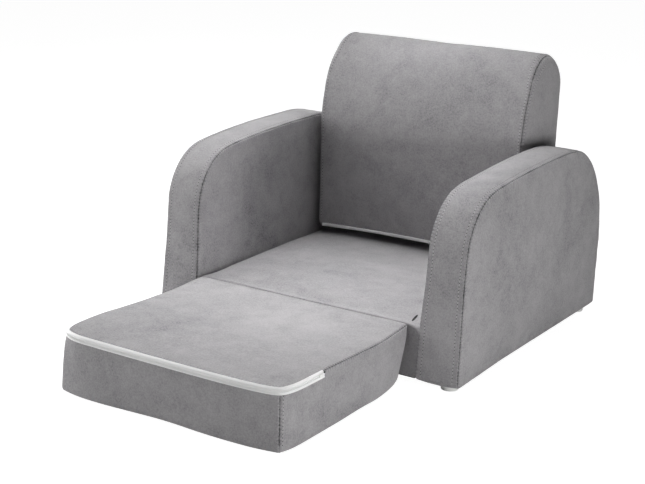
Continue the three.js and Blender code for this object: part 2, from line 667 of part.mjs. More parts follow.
function backrest() {
  const posts = [-1, 1].map((side) => postBlock(side));
  const postRooms = [-1, 1].map((side) => postBlock(side, FIT));
  const frameHalf = POST_X + BACK_POST_WIDTH / 2;
  const boardY = [POST_Y[0] - FIT - PANEL_THICKNESS, POST_Y[0] - FIT];
  const boardZ = [BACK_BOTTOM_Z + LINING + FIT, BACK_FRAME_TOP_Z];
  const board = block([-frameHalf, frameHalf], boardY, boardZ);
  const railHalf = POST_X - BACK_POST_WIDTH / 2 - FIT;
  const rail = (z) => block([-railHalf, railHalf], POST_Y, [z, z + BACK_RAIL_HEIGHT]);
  const pocket = block(
    [-frameHalf - FIT, frameHalf + FIT],
    [boardY[0] - FIT, POST_Y[1] + FIT],
    [BACK_BOTTOM_Z - OVERRUN, BACK_FRAME_TOP_Z + FIT],
  );
  const slit = alongBackEdge(BACK_ZIP_HALF + FIT, slitSection(BACK_ZIP_WIDTH));
  const cover = cutAll(backForm(0).subtract(backForm(COVER_THICKNESS)), [...postRooms, slit]);
  const foam = backForm(LINING).subtract(pocket);
  const bolts = [-1, 1].map((side) => backBoltHoles(side));
  const zip = alongBackEdge(BACK_ZIP_HALF, zipSection(BACK_ZIP_WIDTH));
  return group(
    piece("back_cover", cover, SUEDE),
    piece("back_foam", foam, FOAM),
    piece("back_board", board, PLYWOOD),
    piece("back_post_left", cutAll(posts[0], bolts[0]), TIMBER),
    piece("back_post_right", cutAll(posts[1], bolts[1]), TIMBER),
    piece("back_upper_rail", rail(BACK_FRAME_TOP_Z - BACK_RAIL_HEIGHT), TIMBER),
    piece("back_lower_rail", rail(boardZ[0]), TIMBER),
    piece("back_zip", zip, WHITE_NYLON),
    piece("back_zip_slider", backSlider(), WHITE_NYLON),
  );
}

// The hole through a backrest post and the seat's rear rail, with the nut's hole in the rail's rear face.
function backBoltHoles(side) {
  const length = BACK_POST_DEPTH + RAIL_THICKNESS + FIT + 2 * OVERRUN;
  const x = side * POST_X;
  return [
    bar(BOLT_RADIUS + BOLT_CLEARANCE, length, [x, POST_Y[0] - OVERRUN, BOLT_Z], [0, 1, 0]),
    ...nutHole([x, SEAT_REAR_RAIL_Y + RAIL_THICKNESS, BOLT_Z], [0, 1, 0]),
  ];
}

// A zip slider without a pull tab: a plate over the coil with a lip on each side of it.
// It narrows at both ends and is drawn as [out, up] along a run.
function sliderForm(place) {
  const room = ZIP_COIL_WIDTH / 2 + FIT;
  const top = ZIP_COIL_HEIGHT + FIT + SLIDER_PLATE;
  const section = (half) => [
    [FIT, -half],
    [top, -half],
    [top, half],
    [FIT, half],
    [FIT, room],
    [ZIP_COIL_HEIGHT + FIT, room],
    [ZIP_COIL_HEIGHT + FIT, -room],
    [FIT, -room],
  ];
  const wide = SLIDER_WIDTH / 2;
  const slim = (wide + room) / 2;
  const stations = [
    [0, slim],
    [SLIDER_NOSE, wide],
    [SLIDER_LENGTH - SLIDER_NOSE, wide],
    [SLIDER_LENGTH, slim],
  ];
  return prism(stations.map(([run, half]) => section(half).map(([out, up]) => place(run, out, up))));
}

function backSlider() {
  const start = BACK_ZIP_HALF - FIT;
  return sliderForm((run, out, up) => new THREE.Vector3(start - run, BACK_FRONT_Y - out, BACK_ZIP_Z + up));
}

// Seat base

// A rounded rectangle as [x, y] with its own radii at the front and the rear.
// It has spare points along its sides.
function plan({ half, front, rear, frontRadius, rearRadius, bow = 0, steps, spare, frontSpare = spare }) {
  const frontCorner = front + bow + frontRadius;
  const corners = [
    arc([half - rearRadius, rear - rearRadius], [rearRadius, rearRadius], 90, 0, steps),
    arc([half - frontRadius, frontCorner], [frontRadius, frontRadius], 0, -90, steps),
    arc([-half + frontRadius, frontCorner], [frontRadius, frontRadius], -90, -180, steps),
    arc([-half + rearRadius, rear - rearRadius], [rearRadius, rearRadius], 180, 90, steps),
  ];
  const spares = [spare, frontSpare, spare, spare];
  const flat = corners.flatMap((corner, i) => [
    ...corner,
    ...between(corner.at(-1), corners[(i + 1) % corners.length][0], spares[i]),
  ]);
  return flat.map(([x, y]) => {
    const nearFront = THREE.MathUtils.clamp((frontCorner - y) / frontRadius, 0, 1);
    return [x, y - bow * nearFront * (1 - (x / half) ** 2)];
  });
}

const SEAT_MIDDLE_Y = (SEAT_FRONT_Y + SEAT_REAR_Y) / 2;

function seatFrontAt(z) {
  return SEAT_FRONT_Y - (SEAT_FRONT_LEAN * Math.max(SEAT_EDGE_Z - z, 0)) / (SEAT_EDGE_Z - SEAT_HEM_Z);
}

function seatRing(z, inset, share = 1) {
  const radius = Math.max(SEAT_CORNER_RADIUS - inset, FIT);
  return plan({
    half: SEAT_HALF - inset,
    front: seatFrontAt(z) + inset,
    rear: SEAT_REAR_Y - inset,
    frontRadius: radius,
    rearRadius: radius,
    steps: SEAT_CORNER_STEPS,
    spare: SEAT_SPARE_POINTS,
  }).map(([x, y]) => new THREE.Vector3(x * share, SEAT_MIDDLE_Y + (y - SEAT_MIDDLE_Y) * share, z));
}

const SEAT_CROWN_SHARES = [0.8, 0.45];
const ROUND_MIDDLE_SHARE = 1 - Math.SQRT1_2; // where a rounded edge is halfway round

function seatForm(inset) {
  const top = SEAT_EDGE_Z - inset;
  const foot = SEAT_HEM_Z + inset;
  const halfRound = SEAT_EDGE_ROUND * ROUND_MIDDLE_SHARE;
  const rings = [
    seatRing(foot, inset),
    seatRing(top - SEAT_EDGE_ROUND, inset),
    seatRing(top - halfRound, inset + halfRound),
    seatRing(top, inset + SEAT_EDGE_ROUND),
    ...SEAT_CROWN_SHARES.map((share) =>
      seatRing(top + SEAT_CROWN * (1 - share * share), inset + SEAT_EDGE_ROUND, share),
    ),
  ];
  rings.at(-1).apex = new THREE.Vector3(0, SEAT_MIDDLE_Y, top + SEAT_CROWN);
  return loft(rings);
}

function seatBase() {
  const inner = seatForm(LINING);
  const whole = [-SEAT_HALF, SEAT_HALF];
  const railZ = [SEAT_RAIL_Z, SEAT_RAIL_Z + SEAT_RAIL_HEIGHT];
  const frontFace = SEAT_FRONT_Y - SEAT_FRONT_LEAN + LINING;
  const frontRail = block(whole, [frontFace, frontFace + RAIL_THICKNESS], railZ).intersect(inner);
  const rearRail = block(whole, [SEAT_REAR_RAIL_Y, SEAT_REAR_Y], railZ).intersect(inner);
  const sideY = [frontFace + RAIL_THICKNESS + FIT, SEAT_REAR_RAIL_Y - FIT];
  const sideFace = SEAT_HALF - LINING - RAIL_THICKNESS;
  const sideRail = (side) => block([side * sideFace, side * SEAT_HALF], sideY, railZ).intersect(inner);
  const depth = [frontFace, SEAT_REAR_Y];
  const deck = block(whole, depth, [DECK_Z, DECK_Z + PANEL_THICKNESS]).intersect(inner);
  const foamTop = SEAT_EDGE_Z + SEAT_CROWN;
  const foam = block(whole, depth, [SEAT_FOAM_Z, foamTop]).intersect(inner);
  const mouth = block(
    [-SEAT_HALF + HEM_WIDTH, SEAT_HALF - HEM_WIDTH],
    [frontFace + HEM_WIDTH, SEAT_REAR_Y - HEM_WIDTH],
    [SEAT_HEM_Z - OVERRUN, SEAT_HEM_Z + OVERRUN],
  );
  const postRooms = [-1, 1].map((side) => postBlock(side, FIT));
  const armHoles = [-1, 1].flatMap((side) => armBoltHoles(side));
  const backHoles = [-1, 1].flatMap((side) => backBoltHoles(side));
  const shell = seatForm(0).subtract(seatForm(COVER_THICKNESS));
  const cover = cutAll(shell, [mouth, ...postRooms, ...armHoles]);
  const sheet = block(
    [-SEAT_HALF + COVER_THICKNESS, SEAT_HALF - COVER_THICKNESS],
    [frontFace, SEAT_REAR_Y - COVER_THICKNESS],
    [BASE_Z, BASE_Z + DUST_THICKNESS],
  );
  return group(
    piece("seat_cover", cover, SUEDE),
    piece("seat_foam", cutAll(foam, postRooms), FOAM),
    piece("seat_deck", cutAll(deck, postRooms), PLYWOOD),
    piece("seat_front_rail", frontRail, TIMBER),
    piece("seat_rear_rail", cutAll(rearRail, backHoles), TIMBER),
    piece("seat_side_rail_left", cutAll(sideRail(-1), armHoles), TIMBER),
    piece("seat_side_rail_right", cutAll(sideRail(1), armHoles), TIMBER),
    piece("dust_cover", sheet, NON_WOVEN),
  );
}

// Flip pad

const PAD_CROWN_SHARES = [0.82, 0.45];
const PAD_MIDDLE_Y = (PAD_FRONT_Y + PAD_REAR_Y) / 2;
const PAD_ZIP_STOP_Y = PAD_FRONT_Y + PAD_ZIP_SIDE_RUN;

// The sides spread from the hinge to the rear ends of the zip, and run straight from there.
function flareAt(y) {
  const along = THREE.MathUtils.clamp((PAD_REAR_Y - y) / (PAD_REAR_Y - PAD_ZIP_STOP_Y), 0, 1);
  return 1 + (PAD_FLARE / PAD_HALF) * along;
}

function padRearAt(z) {
  return PAD_REAR_Y - PAD_REAR_SLANT * Math.max(1 - z / SEAT_EDGE_Z, 0);
}

// The pad's plan at a height: sharper corners, less bow and a rear edge further forward near the floor.
function padRing(z, inset, share = 1) {
  const up = THREE.MathUtils.clamp(z / SEAT_EDGE_Z, 0, 1);
  const radius = THREE.MathUtils.lerp(PAD_FOOT_RADIUS, PAD_CORNER_RADIUS, up) - inset;
  const bow = THREE.MathUtils.lerp(PAD_FOOT_BOW, PAD_FRONT_BOW, up);
  const lag = PAD_FRONT_BOW - bow;
  return plan({
    half: PAD_HALF - inset,
    front: PAD_FRONT_Y + lag + inset,
    rear: padRearAt(z) - inset,
    frontRadius: Math.max(radius, FIT),
    rearRadius: Math.max(PAD_REAR_RADIUS - inset, FIT),
    bow,
    steps: PAD_CORNER_STEPS,
    spare: PAD_SPARE_POINTS,
    frontSpare: PAD_FRONT_POINTS,
  }).map(([x, y]) => {
    const across = x * flareAt(y) * share;
    return new THREE.Vector3(across, PAD_MIDDLE_Y + (y - PAD_MIDDLE_Y) * share, z);
  });
}

// The stuffed pad, its lower edge well rounded and its upper one turned in just above the zip.
function padForm(inset) {
  const top = SEAT_EDGE_Z - inset;
  const halfFoot = PAD_FOOT_ROUND * ROUND_MIDDLE_SHARE;
  const rings = [
    padRing(inset, inset + PAD_FOOT_ROUND),
    padRing(inset + halfFoot, inset + halfFoot),
    padRing(inset + PAD_FOOT_ROUND, inset),
    padRing(top - PAD_ZIP_BELOW_EDGE, inset),
    padRing(top - PAD_ZIP_BELOW_EDGE / 2, inset + PAD_EDGE_ROUND * ROUND_MIDDLE_SHARE),
    padRing(top, inset + PAD_EDGE_ROUND),
    ...PAD_CROWN_SHARES.map((share) =>
      padRing(top + PAD_CROWN * (1 - share * share), inset + PAD_EDGE_ROUND, share),
    ),
  ];
  rings.at(-1).apex = new THREE.Vector3(0, PAD_MIDDLE_Y, top + PAD_CROWN);
  return loft(rings);
}

const PAD_ZIP_Z = SEAT_EDGE_Z - PAD_ZIP_BELOW_EDGE - PAD_ZIP_WIDTH / 2;
const PAD_ZIP_X = PAD_HALF + PAD_FLARE;

// The pad's front edge from the rear end of the zip on the right round to its rear end on the left.
function padZipPath() {
  const front = padRing(PAD_ZIP_Z, 0).filter((p) => p.y < PAD_ZIP_STOP_Y - FIT);
  const start = new THREE.Vector3(PAD_ZIP_X, PAD_ZIP_STOP_Y, PAD_ZIP_Z);
  const end = new THREE.Vector3(-PAD_ZIP_X, PAD_ZIP_STOP_Y, PAD_ZIP_Z);
  return [start, ...front, end];
}

// A section swept along that path, with an extra run at both ends.
function alongPadEdge(section, extra) {
  const path = padZipPath();
  const last = path.length - 1;
  const rings = path.map((point, i) => {
    const ahead = path[Math.min(i + 1, last)];
    const run = ahead.clone().sub(path[Math.max(i - 1, 0)]).normalize();
    const outward = new THREE.Vector3(-run.y, run.x, 0);
    const atEnd = Number(i === last) - Number(i === 0);
    const start = point.clone().addScaledVector(run, atEnd * extra);
    return section.map(([out, up]) => start.clone().addScaledVector(outward, out).setZ(point.z + up));
  });
  return prism(rings);
}

function padSlider() {
  const start = PAD_ZIP_STOP_Y - FIT;
  return sliderForm((run, out, up) => new THREE.Vector3(PAD_ZIP_X + out, start - run, PAD_ZIP_Z + up));
}

// The pad lies open, and turns over the seat about the axis that its group stands on.
function flipPad() {
  const slit = alongPadEdge(slitSection(PAD_ZIP_WIDTH), FIT);
  const zip = alongPadEdge(zipSection(PAD_ZIP_WIDTH), 0);
  const cover = padForm(0).subtract(padForm(COVER_THICKNESS)).subtract(slit);
  const fromAxis = (body) => body.translate([0, -HINGE_Y, -HINGE_Z]);
  const pad = group(
    piece("pad_cover", fromAxis(cover), SUEDE),
    piece("pad_foam", fromAxis(padForm(LINING)), FOAM),
    piece("pad_zip", fromAxis(zip), WHITE_NYLON),
    piece("pad_zip_slider", fromAxis(padSlider()), WHITE_NYLON),
  );
  pad.position.set(0, HINGE_Y, HINGE_Z);
  return pad;
}

// The cloth hinge: its two edges are sewn along the pad and the seat, and its slack hangs folded in the gap.
function hingeStrip() {
  const onPad = (z) => padRearAt(z) + FIT;
  const onSeat = (z) => seatFrontAt(z) - FIT;
  const top = SEAT_EDGE_Z - STRIP_BELOW_EDGE;
  const fold = top - STRIP_DROP;
  const thick = STRIP_THICKNESS;
  const section = [
    [onPad(top), top],
    [onPad(fold), fold],
    [onSeat(fold), fold],
    [onSeat(top), top],
    [onSeat(top) - thick, top],
    [onSeat(fold + thick) - thick, fold + thick],
    [onPad(fold + thick) + thick, fold + thick],
    [onPad(top) + thick, top],
  ];
  const half = PAD_HALF - PAD_REAR_RADIUS - STRIP_END_INSET;
  const rings = [-half, half].map((x) => section.map(([y, z]) => new THREE.Vector3(x, y, z)));
  return piece("hinge_strip", prism(rings), SUEDE);
}

const SIDES = [
  ["left", -1],
  ["right", 1],
];
const ENDS = ["front", "rear"];

// What both sides of the sofa have: an arm with its feet and bolts, and a bolt that holds the backrest.
function sofaSide(label, side) {
  const atEnds = (make, ys) => ENDS.map((end, i) => make(`${end}_${label}`, side, ys[i]));
  const backGrip = BACK_POST_DEPTH + FIT + RAIL_THICKNESS;
  return group(
    arm(label, side),
    ...atEnds(foot, FOOT_YS),
    ...atEnds(armBolt, ARM_BOLT_YS),
    boltAndNut(`back_${label}`, [side * POST_X, POST_Y[0], BOLT_Z], [0, 1, 0], backGrip),
  );
}

const sofa = group(
  ...SIDES.map(([label, side]) => sofaSide(label, side)),
  seatBase(),
  backrest(),
  flipPad(),
  hingeStrip(),
);
sofa.position.y = -ORIGIN_Y;

export default group(sofa);
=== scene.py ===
import json
import math

import bmesh
import bpy
import numpy as np
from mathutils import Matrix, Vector, noise
from mathutils.bvhtree import BVHTree
from mathutils.kdtree import KDTree

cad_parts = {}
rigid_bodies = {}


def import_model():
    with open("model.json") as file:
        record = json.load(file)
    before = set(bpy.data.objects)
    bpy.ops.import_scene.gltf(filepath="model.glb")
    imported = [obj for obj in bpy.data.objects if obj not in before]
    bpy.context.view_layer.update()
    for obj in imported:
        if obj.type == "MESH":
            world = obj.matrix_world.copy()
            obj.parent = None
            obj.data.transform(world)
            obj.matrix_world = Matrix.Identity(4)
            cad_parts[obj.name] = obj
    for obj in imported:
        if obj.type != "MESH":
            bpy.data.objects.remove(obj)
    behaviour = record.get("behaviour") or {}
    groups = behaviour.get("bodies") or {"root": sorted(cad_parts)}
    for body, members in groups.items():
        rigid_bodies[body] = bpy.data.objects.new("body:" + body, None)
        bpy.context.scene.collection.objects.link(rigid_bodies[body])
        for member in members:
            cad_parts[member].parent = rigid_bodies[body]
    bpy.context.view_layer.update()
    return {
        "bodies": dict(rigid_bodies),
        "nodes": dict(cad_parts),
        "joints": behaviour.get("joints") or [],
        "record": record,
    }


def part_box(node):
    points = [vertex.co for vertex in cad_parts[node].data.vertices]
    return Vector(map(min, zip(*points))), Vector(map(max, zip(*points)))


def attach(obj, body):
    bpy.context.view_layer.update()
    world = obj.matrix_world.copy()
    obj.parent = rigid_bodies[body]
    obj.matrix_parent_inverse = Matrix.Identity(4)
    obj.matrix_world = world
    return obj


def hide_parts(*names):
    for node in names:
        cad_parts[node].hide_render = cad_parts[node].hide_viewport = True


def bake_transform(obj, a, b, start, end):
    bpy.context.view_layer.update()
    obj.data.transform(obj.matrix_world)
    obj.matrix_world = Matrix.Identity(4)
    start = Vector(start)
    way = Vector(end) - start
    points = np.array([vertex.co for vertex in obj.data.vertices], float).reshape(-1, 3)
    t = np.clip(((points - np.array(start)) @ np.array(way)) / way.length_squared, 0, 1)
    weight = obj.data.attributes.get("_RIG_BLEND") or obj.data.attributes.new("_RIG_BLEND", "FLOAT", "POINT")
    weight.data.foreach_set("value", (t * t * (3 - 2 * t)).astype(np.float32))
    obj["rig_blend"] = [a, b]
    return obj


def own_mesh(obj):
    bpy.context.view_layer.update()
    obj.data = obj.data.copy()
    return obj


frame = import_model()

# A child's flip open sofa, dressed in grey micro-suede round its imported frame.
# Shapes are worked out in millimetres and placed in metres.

MM = 0.001

# Camera, found by fitting a pinhole camera to the photograph's edges
IMAGE_WIDTH = 645
FOCAL_PIXELS = 1475.4
SENSOR_MM = 36
CENTRE_BELOW_MIDDLE = 10.1  # pixels from the middle of the photograph down to the camera's axis
CAMERA_PLACE = (1.1491, -1.7844, 0.7823)
CAMERA_FORWARD = (-0.52398, 0.80135, -0.28858)
CAMERA_ROLL = math.radians(1.17)

# Seams and topstitching, in millimetres
SEAM_DEPTH = 1.3
SEAM_HALF = 1.1
SEAM_SHADE = 0.7  # how far the painted shade of a seam's groove reaches
PUCKER_REACH = 3.8
STITCH_PITCH = 5.0
STITCH_LENGTH = 3.3
STITCH_RADIUS = 0.5
HOLE_LENGTH = 1.5
HOLE_RADIUS = 0.6
HOLE_SUNK = 0.1
THREAD_RAISED = 0.4  # the share of its radius that a thread stands above the cloth
EDGE_ANGLES = (0, 13, 26, 36, 45, 54, 64, 77, 90)
SEAM_ANGLE = 45


def box_mm(node):
    low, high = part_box(node)
    return np.array(low) / MM, np.array(high) / MM


# Outlines

def arc(centre, radii, start, end, count):
    angles = np.radians(np.linspace(start, end, count))
    return np.stack([centre[0] + radii[0] * np.cos(angles), centre[1] + radii[1] * np.sin(angles)], 1)


def line(start, end, count):
    return np.linspace(start, end, count)


def closed(parts, spread):
    """Pieces of a closed outline joined end to end, with its kinks softened over a few points."""
    loop = np.concatenate([part[:-1] if np.allclose(part[-1], parts[(i + 1) % len(parts)][0]) else part
                           for i, part in enumerate(parts)])
    reach = int(3 * spread)
    weights = np.exp(-0.5 * (np.arange(-reach, reach + 1) / spread) ** 2)
    weights /= weights.sum()
    padded = np.concatenate([loop[-reach:], loop, loop[:reach]])
    return np.stack([np.convolve(padded[:, k], weights, "valid") for k in (0, 1)], 1)


def rounded(corners, turn, spread):
    """A closed outline by its corners, as (x, y, radii, first angle, points round it, points after it)."""
    arcs = []
    for x, y, (wide, tall), start, count, _ in corners:
        middle = math.radians(start + 45 * turn)
        centre = (x - math.copysign(wide, math.cos(middle)), y - math.copysign(tall, math.sin(middle)))
        arcs.append(arc(centre, (wide, tall), start, start + 90 * turn, count))
    lines = [line(one[-1], after[0], corner[-1])
             for one, after, corner in zip(arcs, arcs[1:] + arcs[:1], corners)]
    return closed([part for pair in zip(arcs, lines) for part in pair], spread)


def lengths_along(path):
    return np.concatenate([[0], np.cumsum(np.linalg.norm(np.diff(path, axis=0), axis=1))])


def joined(loop):
    """A closed loop with its first point again at its end."""
    return np.vstack([loop, loop[:1]])


def spaced(start, end, count, spots):
    """Places from start up to end, closer together near each spot."""
    fine = np.linspace(start, end, 2000)
    density = np.ones_like(fine)
    for place, width, strength in spots:
        density += strength * np.exp(-((fine - place) / width) ** 2)
    total = np.concatenate([[0], np.cumsum((density[1:] + density[:-1]) / 2)])
    return np.interp(np.linspace(0, total[-1], count + 1), total, fine)[:-1]


def sampled(places, along, path):
    """The points at some places along a path whose own points stand at along."""
    return np.stack([np.interp(places, along, path[:, k]) for k in range(path.shape[1])], 1)


def inward_of(loop):
    """At each point of a closed loop, the unit direction into it."""
    tangent = np.roll(loop, -1, 0) - np.roll(loop, 1, 0)
    tangent /= np.linalg.norm(tangent, axis=1)[:, None]
    normal = np.stack([-tangent[:, 1], tangent[:, 0]], 1)
    after = np.roll(loop, -1, 0)
    return normal if np.sum(loop[:, 0] * after[:, 1] - after[:, 0] * loop[:, 1]) > 0 else -normal


def within(values, zone):
    """How far values have come through a zone, as (start, reach), from 0 to 1."""
    return np.clip((values - zone[0]) / zone[1], 0, 1)


def eased(share):
    return share * share * (3 - 2 * share)


class Outline:
    """A closed outline whose points keep their places along it while its shape changes across the piece."""

    def __init__(self, shape, corners, side_count, end_count, spots=(), by_share=False):
        self.shape = shape
        base = shape(1.0)
        total = len(base)
        along = lengths_along(joined(base))
        self.along = along
        self.length = along[-1]
        if by_share:
            marks = [corner * self.length for corner in corners]
        else:
            marks = [along[int(round(corner * total)) % total] for corner in corners]
        marks.append(marks[0] + self.length)
        for i in range(1, 4):
            if marks[i] < marks[i - 1]:
                marks[i] += self.length
        counts = [side_count, end_count, side_count, end_count]
        places = np.concatenate([
            spaced(marks[i], marks[i + 1], counts[i],
                   [(place * self.length + turn * self.length, width, strength)
                    for place, width, strength in spots for turn in (0, 1)])
            for i in range(4)
        ])
        for place, _, _ in spots:
            away = (places - place * self.length + self.length / 2) % self.length - self.length / 2
            nearest = int(np.argmin(np.abs(away)))
            places[nearest] -= away[nearest]
        self.places = np.interp(places % self.length, along, np.arange(total + 1))
        self.fractions = (places % self.length) / self.length
        self.side_count = side_count
        self.end_count = end_count

    def ring(self, inset, level=1.0, places=None):
        """The outline drawn in by an inset, at its own places or at others."""
        loop = self.shape(level)
        places = self.places if places is None else places
        index = np.arange(len(loop) + 1)
        at, to = (sampled(places, index, joined(part)) for part in (loop, inward_of(loop)))
        return at + to * np.asarray(inset)[..., None]

    def at_share(self, share, level):
        """The point at one share of the outline's length."""
        place = np.interp((share % 1) * self.length, self.along, np.arange(len(self.along)))
        return self.ring(0.0, level, np.array([place]))[0]


def share_near(loop, place):
    """Where along a closed outline, from 0 to 1, its point nearest to a place stands."""
    along = lengths_along(joined(loop))
    return along[int(np.argmin(((loop - np.array(place)) ** 2).sum(1)))] / along[-1]


# A stuffed form: two faces joined by a band, with a seam round each face

def edge_section(reach, radius, outward, seam_depth, seam_angle):
    """Rings round an edge from the band to the face, as (across, inset, distance from the seam)."""
    rings = []
    for angle in EDGE_ANGLES:
        turn = math.radians(angle)
        gap = math.radians(angle - seam_angle) * np.mean(radius)
        r = radius - seam_depth * math.exp(-((gap / SEAM_HALF) ** 2))
        rings.append((reach - outward * (radius - r * math.sin(turn)), radius - r * math.cos(turn), gap))
    return rings


def band_section(low, high, low_radius, high_radius, bulge, marks, steps, beyond):
    """Rings across the band between the two rounded edges, closest together near the seams."""
    start, end = low + low_radius, high - high_radius
    width = np.mean(end - start)
    near = [m for m in marks if m < width / 2]
    middle = list(np.linspace(near[-1], width - near[-1], steps)[1:-1]) if near else []
    places = near + middle + [width - m for m in reversed(near)]
    rings = []
    for place in places:
        share = place / width
        gap = min(place + beyond[0], width - place + beyond[1])
        rings.append((start + (end - start) * share, -bulge * 4 * share * (1 - share), gap))
    return rings


def patch(loop, rows, columns):
    """A grid of points that fills a closed loop of 2 * (rows + columns) points."""
    left, top = loop[:rows + 1], loop[rows:rows + columns + 1]
    right = loop[rows + columns:2 * rows + columns + 1][::-1]
    bottom = joined(loop)[2 * rows + columns:][::-1]
    share = lambda edge: lengths_along(edge) / lengths_along(edge)[-1]
    u = ((share(left) + share(right)) / 2)[:, None, None]
    v = ((share(top) + share(bottom)) / 2)[None, :, None]
    ruled = (1 - v) * left[:, None] + v * right[:, None] + (1 - u) * bottom + u * top
    return ruled - (1 - u) * ((1 - v) * bottom[0] + v * bottom[-1]) - u * ((1 - v) * top[0] + v * top[-1])


def distance_to(points, loop):
    after = np.roll(loop, -1, 0)
    step = after - loop
    size = np.maximum((step ** 2).sum(1), 1e-12)
    best = np.full(len(points), 1e9)
    for start, run, square in zip(loop, step, size):
        share = np.clip(((points - start) @ run) / square, 0, 1)
        best = np.minimum(best, np.linalg.norm(points - (start + share[:, None] * run), axis=1))
    return best


class Stuffed:
    """The points and faces of one stuffed form, built ring by ring in its own (across, outline) plane."""

    def __init__(self, outline, low, high, low_radius, high_radius, bulge, marks, steps,
                 low_crown=(0, 40), high_crown=(0, 40), seam_depth=(SEAM_DEPTH, SEAM_DEPTH),
                 seam_angles=(SEAM_ANGLE, SEAM_ANGLE), levels=None, shift=None):
        self.outline = outline
        count = len(outline.places)
        level = levels or (lambda across: 1.0)
        low_edge, high_edge = (edge_section(*edge) for edge in zip(
            (low, high), (low_radius, high_radius), (-1, 1), seam_depth, seam_angles))
        beyond = [math.radians(angle) * np.mean(radius) for angle, radius in
                  zip(seam_angles, (low_radius, high_radius))]
        band = band_section(low, high, low_radius, high_radius, bulge, marks, steps, beyond)
        zones = (("low", low_edge[::-1]), ("band", band), ("high", high_edge))
        sections = [(*section, zone) for zone, rings in zones for section in rings]
        self.rings = []
        points, gaps = [], []
        for across, inset, gap, zone in sections:
            across = np.broadcast_to(np.asarray(across, float), (count,))
            inset = np.broadcast_to(np.asarray(inset, float), (count,))
            if shift is not None:
                inset = inset + shift(across, outline.fractions, zone)
            flat = outline.ring(inset, level(float(np.mean(across))))
            self.rings.append(np.arange(len(points) * count, (len(points) + 1) * count))
            points.append(np.column_stack([across, flat]))
            gaps.append(np.full(count, abs(gap)))
        self.sections = sections
        self.points = np.concatenate(points)
        self.gaps = np.concatenate(gaps)
        self.runs = np.tile(outline.fractions * outline.length, len(sections))
        self.faces = []
        for a, b in zip(self.rings[:-1], self.rings[1:]):
            self.faces += np.stack([a, np.roll(a, -1), np.roll(b, -1), b], 1).tolist()
        self.cap(self.rings[0], -1, *low_crown)
        self.cap(self.rings[-1], 1, *high_crown)

    def cap(self, ring, outward, crown, spread):
        rows, columns = self.outline.side_count, self.outline.end_count
        loop = self.points[ring]
        grid = patch(loop, rows, columns)
        inner = grid[1:-1, 1:-1].reshape(-1, 3)
        depth = distance_to(inner[:, 1:], loop[:, 1:])
        inner[:, 0] += outward * crown * (1 - np.exp(-depth / spread))
        start = len(self.points)
        index = np.zeros((rows + 1, columns + 1), int)
        count = len(ring)
        index[:, 0], index[rows] = ring[:rows + 1], ring[rows:rows + columns + 1]
        index[:, columns] = ring[(2 * rows + columns - np.arange(rows + 1)) % count]
        index[0] = ring[-np.arange(columns + 1) % count]
        index[1:-1, 1:-1] = start + np.arange(len(inner)).reshape(rows - 1, columns - 1)
        self.points = np.vstack([self.points, inner])
        self.gaps = np.concatenate([self.gaps, depth + 3])
        nearest = [int(np.argmin(((loop[:, 1:] - point[1:]) ** 2).sum(1))) for point in inner]
        self.runs = np.concatenate([self.runs, self.runs[ring][nearest]])
        quads = np.stack([index[:-1, :-1], index[1:, :-1], index[1:, 1:], index[:-1, 1:]], -1)
        self.faces += quads.reshape(-1, 4).tolist()


# Meshes

def new_object(name, mesh):
    made = bpy.data.objects.new(name, mesh)
    bpy.context.scene.collection.objects.link(made)
    return made


def mesh_from(name, points, faces):
    mesh = bpy.data.meshes.new(name)
    mesh.from_pydata([tuple(p) for p in points], [], faces)
    edit = bmesh.new()
    edit.from_mesh(mesh)
    bmesh.ops.recalc_face_normals(edit, faces=edit.faces)
    edit.to_mesh(mesh)
    edit.free()
    mesh.polygons.foreach_set("use_smooth", [True] * len(mesh.polygons))
    mesh.update()
    return mesh


def vectors_of(items, key):
    values = np.zeros(len(items) * 3, np.float32)
    items.foreach_get(key, values)
    return values.reshape(-1, 3).astype(float)


def places_of(mesh):
    return vectors_of(mesh.vertices, "co")


def normals_of(mesh):
    return vectors_of(mesh.vertex_normals, "vector")


def set_values(obj, key, values):
    """Give each point of a mesh a number that its material reads."""
    attributes = obj.data.attributes
    attribute = attributes.get(key) or attributes.new(key, "FLOAT", "POINT")
    attribute.data.foreach_set("value", np.asarray(values, np.float32))


def surface_of(obj):
    return BVHTree.FromPolygons([v.co for v in obj.data.vertices], [p.vertices for p in obj.data.polygons])


def tube(count, rings, start=0):
    """The faces of a tube of rings with so many points each, without its ends."""
    faces = []
    for ring in range(rings - 1):
        for i in range(count):
            here, after = (start + ring * count + k for k in (i, (i + 1) % count))
            faces.append((here, after, after + count, here + count))
    return faces


def capped_tube(name, points, count):
    """A tube in millimetres with a flat face at each end."""
    total = len(points)
    faces = tube(count, total // count) + [tuple(range(count)), tuple(range(total - count, total))]
    return new_object(name, mesh_from(name, np.array(points) * MM, faces))


def subdivided(obj, levels=1):
    modifier = obj.modifiers.new("smooth", "SUBSURF")
    modifier.levels = levels
    modifier.render_levels = levels
    graph = bpy.context.evaluated_depsgraph_get()
    mesh = bpy.data.meshes.new_from_object(obj.evaluated_get(graph))
    obj.modifiers.clear()
    obj.data = mesh
    mesh.polygons.foreach_set("use_smooth", [True] * len(mesh.polygons))
    return obj


def wave(point, size, seed):
    """Smooth noise from -1 to 1 with features of about that size in millimetres."""
    return noise.noise(Vector(point) / size + Vector((seed * 7.1, seed * 3.3, seed * 5.7)))


